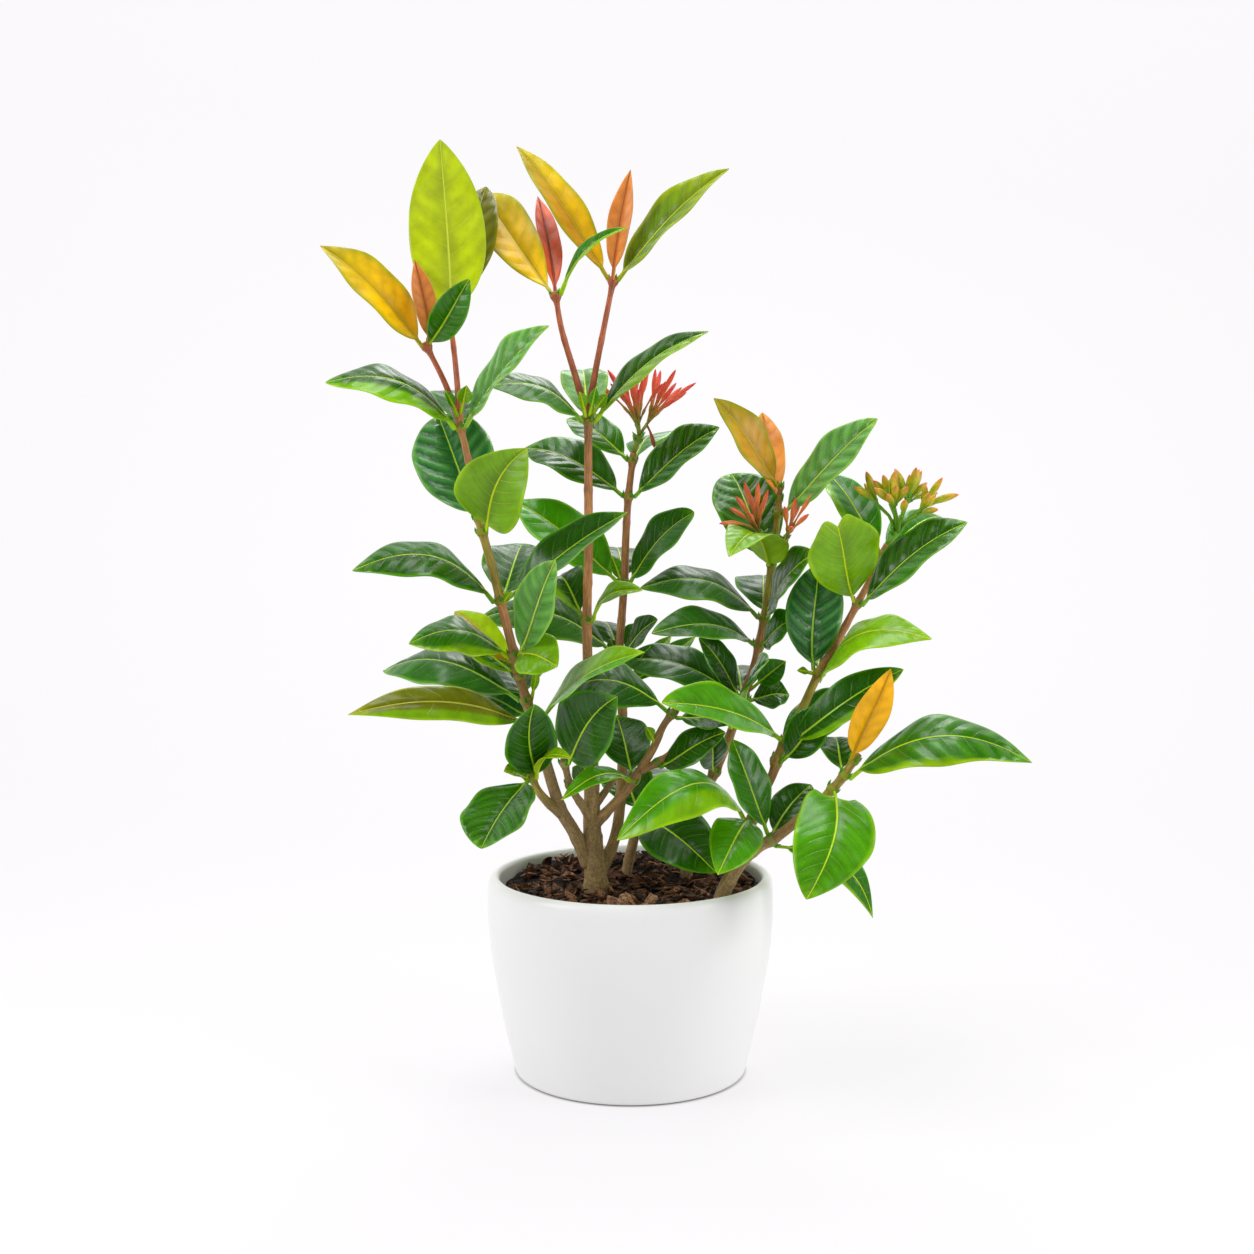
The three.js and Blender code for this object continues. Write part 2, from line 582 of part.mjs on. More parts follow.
// low right stem
whorl('low_right_gold', 'low_right_stem', 206, 'gold', [
  leaf([154, -64, 264], 23, 0.05, [0.2, -1, 0.3], 0.15, { outline: 'pointed' }),
]);
whorl('low_right_large', 'low_right_stem', 197, 'dark', [
  leaf([237, -72, 209], 44, 0.27, [0, -0.65, 1], -0.15, { outline: 'pointed' }),
  leaf([128, -6, 214], 24, 0.15, [0, -0.9, 0.9], 0.1),
]);
whorl('low_right_heart', 'low_right_stem', 188, 'lime', [
  leaf([102, -98, 133], 46, 0.1, [-0.1, -1, 0.5], -0.05, { outline: 'broad', bow: -0.08 }),
]);
whorl('low_right_hanging', 'low_right_stem', 156, 'dark', [
  leaf([147, -50, 110], 30, 0.12, [-0.4, -1, 0.6], -0.1, { outline: 'pointed' }),
  leaf([62, -34, 217], 30, 0.02, [0.7, -0.9, 0.4], 0.1),
  leaf([113, -6, 184], 24, 0.1, [-0.2, -1, 0.8], 0.1),
]);

// short stem behind the trunk
whorl('short_stem_leaves', 'short_stem', 160, 'dark', [
  leaf([52, -46, 137], 40, 0.16, [-0.2, -1, 0.8], 0.1),
  leaf([-7, 60, 182], 34, 0.15, [0, -0.8, 1], 0.1),
  leaf([14, 96, 172], 36, 0.2, [0, 0.5, 1], -0.1),
]);

// ---- heads of unopened buds -----------------------------------------------------------------
// Buds stand in a dome round an axis, turned by the golden angle from one to the next.
function coreSolid(hub) {
  const core = new THREE.IcosahedronGeometry(CORE_RADIUS, 0);
  core.translate(hub.x, hub.y, hub.z);
  return solidOf(core);
}

function budSolid(hub, direction, length) {
  const points = BUD_STATIONS.map(([share]) => ahead(hub, direction, share * length));
  return loft(points, BUD_STATIONS.map(([, radius]) => radius), BUD_SIDES);
}

function budDome(hub, axis, { count, widest, length }) {
  const draw = seeded(count);
  const upright = vec(axis).normalize();
  const turn = new THREE.Quaternion().setFromUnitVectors(new THREE.Vector3(0, 0, 1), upright);
  const buds = [];
  for (let i = 0; i < count; i += 1) {
    const tilt = widest * Math.sqrt((i + 0.5) / count);
    const round = i * GOLDEN_ANGLE;
    const direction = new THREE.Vector3(
      Math.sin(tilt) * Math.cos(round),
      Math.sin(tilt) * Math.sin(round),
      Math.cos(tilt),
    ).applyQuaternion(turn);
    const share = THREE.MathUtils.lerp(SHORTEST_BUD, LONGEST_BUD, draw());
    buds.push(budSolid(hub, direction, length * share));
  }
  return buds;
}

// A head on a stalk that stands on a stem's tip.
function head(name, stem, hub, axis, dome, colour) {
  const [x, y, z, radius] = STEMS[stem].at(-1);
  const { along } = onStem(stem, z);
  const foot = ahead(vec([x, y, z]), along, SEAT_GAP);
  const points = [foot, ahead(foot, along, 2 * radius), vec(hub)];
  const stalk = loft(points, [radius, radius, HEAD_STALK_RADIUS], STEM_SIDES);
  const solid = union([stalk, coreSolid(vec(hub)), ...budDome(vec(hub), axis, dome)]);
  group.add(meshOf(name, solid, COLOURS[colour], 0.5));
}

const RED_DOME = { count: 19, widest: 1, length: 40 };
const YELLOW_DOME = { count: 19, widest: 1.2, length: 34 };
head('head_red', 'back', [6, 38, 404], [0.1, -0.1, 1], RED_DOME, 'redBud');
head('head_yellow', 'right_tall', [168, 3, 350], [0.15, -0.15, 1], YELLOW_DOME, 'yellowBud');

// The sparse orange head has two bunches, on short stalks at both sides of the middle stem.
const LOOSE_BUNCHES = [
  { hub: [82, 24, 341], axis: [-0.45, -0.35, 1], dome: { count: 6, widest: 0.85, length: 30 } },
  { hub: [102, 18, 336], axis: [0.45, -0.5, 1], dome: { count: 4, widest: 0.6, length: 29 } },
];
const looseJoint = onStem('middle', 336);

function looseBunch({ hub, axis, dome }) {
  const outward = vec(hub).sub(looseJoint.point);
  outward.addScaledVector(looseJoint.along, -outward.dot(looseJoint.along)).normalize();
  const foot = ahead(looseJoint.point, outward, looseJoint.radius + COLLAR_PLAY + STALK_SEAT);
  const stalk = loft([foot, vec(hub)], [LOOSE_STALK_RADIUS, LOOSE_STALK_RADIUS], STEM_SIDES);
  return union([stalk, coreSolid(vec(hub)), ...budDome(vec(hub), axis, dome)]);
}

const looseHead = union([collarSolid(looseJoint), ...LOOSE_BUNCHES.map(looseBunch)]);
group.add(meshOf('head_orange', looseHead, COLOURS.orangeBud, 0.5));

// ---- bark mix -------------------------------------------------------------------------------
function soilHeight(x, y) {
  const lumps = Math.sin(x / 9 + 1) * Math.cos(y / 8) + 0.7 * Math.sin((x + y) / 6);
  const away = Math.hypot(x - MOUND.x, y - MOUND.y) / MOUND.spread;
  const mound = MOUND.height * Math.exp(-(away ** 2));
  const edge = EDGE_DROP * (Math.hypot(x, y) / MOUTH_RADIUS) ** 2;
  return SOIL_LEVEL + lumps + mound - edge + FRONT_RIGHT_RISE * (x - y);
}

function soilBody() {
  const vertices = [vec([0, 0, 0]), vec([0, 0, soilHeight(0, 0)])];
  const triangles = [];
  const at = (ring, spoke) => 2 + (ring - 1) * SOIL_SPOKES + (spoke % SOIL_SPOKES);
  for (let ring = 1; ring <= SOIL_RINGS; ring += 1) {
    for (let spoke = 0; spoke < SOIL_SPOKES; spoke += 1) {
      const turn = (2 * Math.PI * spoke) / SOIL_SPOKES;
      const radius = (RIM_RADIUS * ring) / SOIL_RINGS;
      const [x, y] = [radius * Math.cos(turn), radius * Math.sin(turn)];
      vertices.push(vec([x, y, soilHeight(x, y)]));
    }
  }
  const floor = vertices.length;
  for (let spoke = 0; spoke < SOIL_SPOKES; spoke += 1) {
    const rim = vertices[at(SOIL_RINGS, spoke)];
    vertices.push(vec([rim.x, rim.y, 0]));
  }
  for (let spoke = 0; spoke < SOIL_SPOKES; spoke += 1) {
    const next = (spoke + 1) % SOIL_SPOKES;
    triangles.push([1, at(1, spoke), at(1, next)]);
    for (let ring = 1; ring < SOIL_RINGS; ring += 1) {
      triangles.push([at(ring, spoke), at(ring + 1, spoke), at(ring + 1, next)]);
      triangles.push([at(ring, spoke), at(ring + 1, next), at(ring, next)]);
    }
    triangles.push([at(SOIL_RINGS, spoke), floor + spoke, floor + next]);
    triangles.push([at(SOIL_RINGS, spoke), floor + next, at(SOIL_RINGS, next)]);
    triangles.push([0, floor + next, floor + spoke]);
  }
  return solidFrom(vertices, triangles);
}

// A box with shaken corners, tilted, half sunk in the soil's surface.
function chipSolid(draw) {
  const between = (low, high) => THREE.MathUtils.lerp(low, high, draw());
  const box = new THREE.BoxGeometry(1, 1, 1);
  box.deleteAttribute('normal');
  box.deleteAttribute('uv');
  const chip = mergeVertices(box);
  const place = chip.attributes.position;
  for (let i = 0; i < place.count; i += 1) {
    const shaken = [place.getX(i), place.getY(i), place.getZ(i)].map((c) => c * between(0.75, 1.25));
    place.setXYZ(i, ...shaken);
  }
  const length = CHIP_LENGTH * between(0.6, 1.3);
  chip.scale(length, CHIP_LENGTH * between(0.35, 0.65), CHIP_LENGTH * 0.4);
  chip.rotateX(between(-CHIP_TILT, CHIP_TILT));
  chip.rotateY(between(-CHIP_TILT, CHIP_TILT));
  chip.rotateZ(between(0, Math.PI * 2));
  const radius = (MOUTH_RADIUS - CHIP_LENGTH / 3) * Math.sqrt(draw());
  const turn = between(0, Math.PI * 2);
  const [x, y] = [radius * Math.cos(turn), radius * Math.sin(turn)];
  chip.translate(x, y, soilHeight(x, y));
  return solidOf(chip);
}

const drawChip = seeded(7);
const chips = Array.from({ length: BARK_CHIPS }, () => chipSolid(drawChip));
const potRoom = latheSolid([
  [0, FLOOR_THICKNESS + SEAT_GAP],
  ...POT_INSIDE.toReversed().map(([radius, height]) => [radius - SEAT_GAP, height + SEAT_GAP]),
  [0, POT_INSIDE[0][1] + SEAT_GAP],
], POT_SIDES);
const rootRoom = union(Object.keys(STEMS).map((stem) => stemSolid(stem, SEAT_GAP)));
const mixSolid = union([soilBody(), ...chips]).intersect(potRoom).subtract(rootRoom);
group.add(meshOf('bark_mix', mixSolid, COLOURS.bark, 0.95));

// ---- wood and pot ---------------------------------------------------------------------------
for (const [name, stems] of Object.entries(WOOD)) {
  group.add(meshOf(name, union(stems.map((stem) => stemSolid(stem))), COLOURS.wood, 0.7));
}

group.add(meshOf('pot', potSolid, COLOURS.glaze, 0.15));

export default group;
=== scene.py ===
"""The looks of a potted ixora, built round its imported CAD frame. Tables are in millimetres, +Z up."""

import functools
import json
import math

import bmesh
import bpy
import numpy as np
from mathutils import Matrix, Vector


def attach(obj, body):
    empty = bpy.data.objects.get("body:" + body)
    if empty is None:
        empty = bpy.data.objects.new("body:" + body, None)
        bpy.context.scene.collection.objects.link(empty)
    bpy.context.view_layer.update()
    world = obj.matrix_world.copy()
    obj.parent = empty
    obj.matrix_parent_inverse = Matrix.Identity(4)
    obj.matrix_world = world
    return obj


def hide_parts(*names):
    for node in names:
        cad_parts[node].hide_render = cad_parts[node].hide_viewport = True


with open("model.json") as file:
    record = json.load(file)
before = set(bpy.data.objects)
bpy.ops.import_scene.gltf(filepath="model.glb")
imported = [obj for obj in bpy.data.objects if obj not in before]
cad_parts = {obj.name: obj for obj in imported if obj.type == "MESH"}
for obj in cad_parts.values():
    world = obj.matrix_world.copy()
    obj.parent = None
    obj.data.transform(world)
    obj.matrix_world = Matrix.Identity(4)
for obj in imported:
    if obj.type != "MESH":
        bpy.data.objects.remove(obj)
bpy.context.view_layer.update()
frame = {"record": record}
MM = 0.001

# ---- driving dimensions, as in the part ----------------------------------------------------------
POT_HEIGHT = 126.5
RIM_RADIUS = 90
MOUTH_RADIUS = 82.6
BASE_RADIUS = 71.5
FLOOR_THICKNESS = 6
SOIL_LEVEL = 117
MOUND = (-20, -20, 3, 30)         # x, y, height and spread, round the trunk's foot
EDGE_DROP = 2.5
BACK_RISE = 9
FRONT_RIGHT_RISE = 0.025
COLLAR_PLAY = 0.55
STALK_SEAT = 0.8
STALK_SHARE = 0.07                # of a leaf's length
STALK_HALF_WIDTH = 1.1
WAVE = 0.035                      # of a leaf's width
WAVES_PER_LEAF = 2.25
OUTSET = 5
GOLDEN_ANGLE = math.pi * (3 - math.sqrt(5))

# ---- fineness ------------------------------------------------------------------------------------
BLADE_ROWS = 72
SMALL_ROWS = 44
SHOOT_ROWS = 24
SMALL_WIDTH = 31                  # the widest of the small leaves
VEINS = 8                         # side veins in a leaf's length
SMALL_VEINS = 7
BLADE_COLUMNS = np.array([
    -1, -0.95, -0.85, -0.7, -0.54, -0.38, -0.22, -0.08, 0, 0.08, 0.22, 0.38, 0.54, 0.7, 0.85, 0.95, 1,
])
BLADE_THICKNESS = 0.5
STALK_THICKNESS = 2.0
MIDRIB_DEPTH = 0.9                # below the blade, at its foot
MIDRIB_HALF_WIDTH = 1.1
GROOVE_DEPTH = 0.5                # above the midrib
GROOVE_HALF_WIDTH = 1.5
ROOT_DEPTH = 1.2                  # of a stalk's root in its collar
STEM_STEP = 2.5
STEM_SIDES = 16
BUD_SIDES = 10

# ---- colours, as screen values -------------------------------------------------------------------


def linear(red, green, blue):
    def channel(value):
        share = value / 255
        return share / 12.92 if share <= 0.04045 else ((share + 0.055) / 1.055) ** 2.4
    return (channel(red), channel(green), channel(blue))


# Colours of a leaf's upper face, its edge, its midrib and veins, and its lower face
COATS = {name: [linear(*colour) for colour in colours] for name, colours in {
    "dark": [(24, 84, 0), (96, 168, 10), (176, 216, 40), (104, 158, 30)],
    # The next two coats are painted sheen: dark green paled towards grey-green in place of the lamps'
    # reflection on a half or a whole leaf
    "grey": [(46, 108, 26), (122, 180, 46), (172, 212, 70), (112, 160, 50)],
    "pale": [(84, 146, 62), (150, 200, 70), (196, 224, 80), (124, 168, 60)],
    "blue": [(36, 104, 48), (104, 166, 56), (170, 210, 64), (104, 154, 56)],
    "mid": [(40, 112, 0), (110, 186, 8), (176, 216, 36), (118, 168, 30)],
    "bright": [(66, 146, 0), (140, 202, 4), (190, 224, 36), (134, 186, 20)],
    "lime": [(112, 166, 0), (160, 204, 0), (200, 222, 20), (152, 194, 10)],
    "sunny": [(184, 210, 0), (176, 206, 4), (212, 226, 60), (152, 194, 10)],
    "leafy": [(92, 130, 8), (162, 178, 8), (196, 200, 50), (130, 160, 40)],
    "shade": [(92, 96, 2), (128, 130, 10), (150, 146, 40), (104, 110, 40)],
    "moss": [(104, 116, 0), (176, 190, 8), (190, 190, 40), (120, 140, 20)],
    "olive": [(206, 148, 0), (150, 158, 6), (206, 180, 40), (190, 166, 30)],
    "gold": [(242, 192, 0), (164, 168, 2), (206, 180, 30), (230, 188, 30)],
    "amber": [(246, 184, 0), (232, 176, 0), (206, 150, 10), (230, 188, 30)],
    "tan": [(232, 152, 60), (220, 170, 70), (206, 130, 50), (224, 150, 80)],
    "orange": [(228, 134, 58), (238, 156, 80), (196, 100, 36), (232, 144, 78)],
    "red": [(200, 76, 20), (200, 66, 24), (126, 52, 22), (196, 86, 52)],
}.items()}
YOUNG_COATS = {"lime", "sunny", "olive", "gold", "amber", "tan", "orange", "red"}
TINGED = {"gold", "olive", "leafy"}        # coats whose rim colour spreads inwards and over the tip
TINGED_STARTS = (0.68, 0.42)      # where a rim and a tip start, as shares of the width and the length
RIM_STARTS = (0.88, 0.85)
QUILT = 0.3                       # height in mm of the blade between its side veins

# Where a blade is widest, as a share of its length, and the powers of its base and its tip.
OUTLINES = {
    "plain": (0.5, 0.7, 0.82),
    "pointed": (0.46, 0.68, 1.0),
    "round": (0.55, 0.62, 0.6),
    "broad": (0.42, 0.52, 0.85),
    "obovate": (0.64, 0.85, 0.52),
    "heart": (0.36, 0.34, 0.85),
    "oval": (0.56, 0.6, 0.72),
    "egg": (0.34, 0.5, 0.9),
}


def leaf(tip, width, arch, face, fold, coat, outline="plain", bow=0.0, stalk=STALK_SHARE, quilt=QUILT,
         notch=0.0, lobes=0.0, turned=0.0):
    """A leaf. The second of two coats is the lower half's, from a share of its width on."""
    return dict(tip=tip, width=width, arch=arch, face=face, fold=fold, coat=coat, outline=outline,
                bow=bow, stalk=stalk, quilt=quilt, notch=notch, lobes=lobes, turned=turned)


# ---- stems: (x, y, z, radius) along each ---------------------------------------------------------
STEMS = {
    "centre": [
        (-19, -22, 76, 8), (-21, -20, 118, 7.7), (-24, -16, 160, 5.8), (-24, -14, 190, 4.4),
        (-26, -13, 245, 3.2), (-27, -14, 288, 3), (-26, -12, 325, 2.8), (-26, -10, 368, 2.6),
        (-26, -8, 416, 2.3),
    ],
    "centre_left": [(-26, -8, 412, 2.2), (-35, -11, 442, 2), (-42, -16, 466, 1.8), (-45.5, -19, 487, 1.6)],
    "centre_right": [(-26, -8, 412, 2.2), (-22, -4, 439, 2), (-16, 2, 470, 1.8), (-10.5, 5.5, 498, 1.6)],
    "left": [
        (-26, -18, 136, 4.4), (-36, -23, 159, 4), (-43, -26, 172, 3.8), (-47, -29, 185, 3.4),
        (-53, -33, 207, 3.2), (-63, -39, 241, 3), (-70, -43, 269, 2.8), (-78, -46, 303, 2.7),
        (-84, -46, 327, 2.6), (-90, -44, 349, 2.4), (-96, -40, 381, 2.2), (-103, -36, 411, 2),
    ],
    "left_tip": [(-102, -36.5, 407, 1.9), (-111, -34, 432, 1.7), (-123, -32, 456, 1.5)],
    "left_fork": [(-102, -36.5, 407, 1.9), (-105, -30, 441, 1.7), (-109, -24, 474, 1.4)],
    "back": [
        (-20, -18, 128, 4), (-10, -8, 150, 3.6), (-6, 6, 178, 3.2), (-5, 18, 223, 2.9),
        (-7, 26, 262, 2.7), (-4, 32, 308, 2.5), (-2, 36, 355, 2.3), (2, 38, 391, 2),
    ],
    "low_right": [
        (-23, -17, 160, 3.2), (-10, -22, 175, 2.9), (-1, -27, 186, 2.7), (6, -31, 198, 2.5),
        (14, -35, 212, 2.4), (20, -37, 226, 2.2), (28, -38, 237, 2),
    ],
    "low_fork": [(6, -31, 197, 2.2), (18, -36, 204, 2), (30, -40, 214, 1.7)],
    "left_twig": [(-43, -26, 170, 3), (-50, -32, 177, 2.7), (-57, -38, 187, 2.4), (-61, -42, 199, 2)],
    "low_twig": [(-24, -16, 163, 3), (-30, -22, 174, 2.6), (-37, -30, 188, 2.3), (-41, -34, 205, 1.9)],
    "bare_twig": [(-23, -16, 172, 2.4), (-17, -12, 179, 2.1), (-10, -5, 188, 1.7)],
    "short_stem": [
        (-8, 29, 80, 3.6), (-3, 25, 118, 3.5), (2, 20, 143, 3.2), (6, 17, 160, 2.6), (9, 14, 170, 2),
    ],
    "middle": [
        (34, 24, 80, 4.2), (36, 20, 119, 4), (38, 18, 142, 3.7), (42, 15, 163, 3.4), (54, 19, 188, 3.2),
        (64, 24, 211, 3), (72, 28, 233, 2.9), (80, 31, 256, 2.8), (83, 32, 270, 2.7),
        (86, 33, 285, 2.6), (90, 33, 317, 2.4), (93, 31, 343, 2.2), (95.8, 30, 371, 1.1),
    ],
    "low_right_stem": [
        (48, -36, 80, 5.4), (55, -38, 117, 5.2), (60, -38, 130, 4.6), (68, -38, 142, 4),
        (78, -39, 151, 3.4), (89, -41, 158, 3.1), (102, -43, 169, 2.9), (124, -45, 190, 2.6),
        (138, -45, 210, 2.2),
    ],
    "right_tall": [
        (65, -38, 138, 3.2), (71, -30, 155, 3.1), (76, -24, 170, 3), (88, -16, 192, 2.9),
        (93, -13, 206, 2.8), (106, -8, 230, 2.7), (117, -4, 253, 2.6), (130, 0, 275, 2.5),
        (142, 3, 297, 2.3), (152, 4, 316, 2.1), (160, 4, 334, 1.9),
    ],
}

WOOD = {
    "stem_main": [
        "centre", "centre_left", "centre_right", "left", "left_tip", "left_fork", "back",
        "low_right", "low_fork", "left_twig", "low_twig", "bare_twig",
    ],
    "stem_short": ["short_stem"],
    "stem_middle": ["middle"],
    "stem_right": ["low_right_stem", "right_tall"],
}

# (height, colour, age) up each stem, where age 1 is rough bark and 0 is smooth young wood
BARK = (linear(172, 142, 96), 1.0)
OLD = (linear(172, 130, 78), 0.6)
BROWN = (linear(176, 118, 66), 0.3)
RED_BROWN = (linear(178, 92, 52), 0.05)
OLIVE = (linear(160, 140, 40), 0.15)
STEM_TONES = {
    "centre": [(118, BARK), (190, BARK), (245, OLD), (300, BROWN), (400, BROWN)],
    "centre_left": [(412, BROWN), (424, RED_BROWN)],
    "centre_right": [(412, BROWN), (424, RED_BROWN)],
    "left": [(136, BARK), (200, BARK), (235, OLD), (298, BROWN), (310, OLIVE), (350, OLIVE), (366, BROWN)],
    "left_tip": [(407, BROWN), (418, RED_BROWN)],
    "left_fork": [(407, BROWN), (418, RED_BROWN)],
    "back": [(128, BARK), (200, OLD), (300, BROWN)],
    "middle": [(119, BARK), (200, OLD), (276, BROWN), (290, OLIVE), (350, OLIVE), (366, BROWN)],
    "low_right_stem": [(117, BARK), (150, BARK), (165, OLD), (188, OLIVE)],
    "right_tall": [(138, BARK), (185, OLD), (200, BROWN), (210, OLIVE), (246, OLIVE), (262, BROWN)],
    "low_right": [(160, BARK), (186, OLD)],
    "low_fork": [(197, OLD)],
    "left_twig": [(170, BARK), (190, OLIVE)],
}

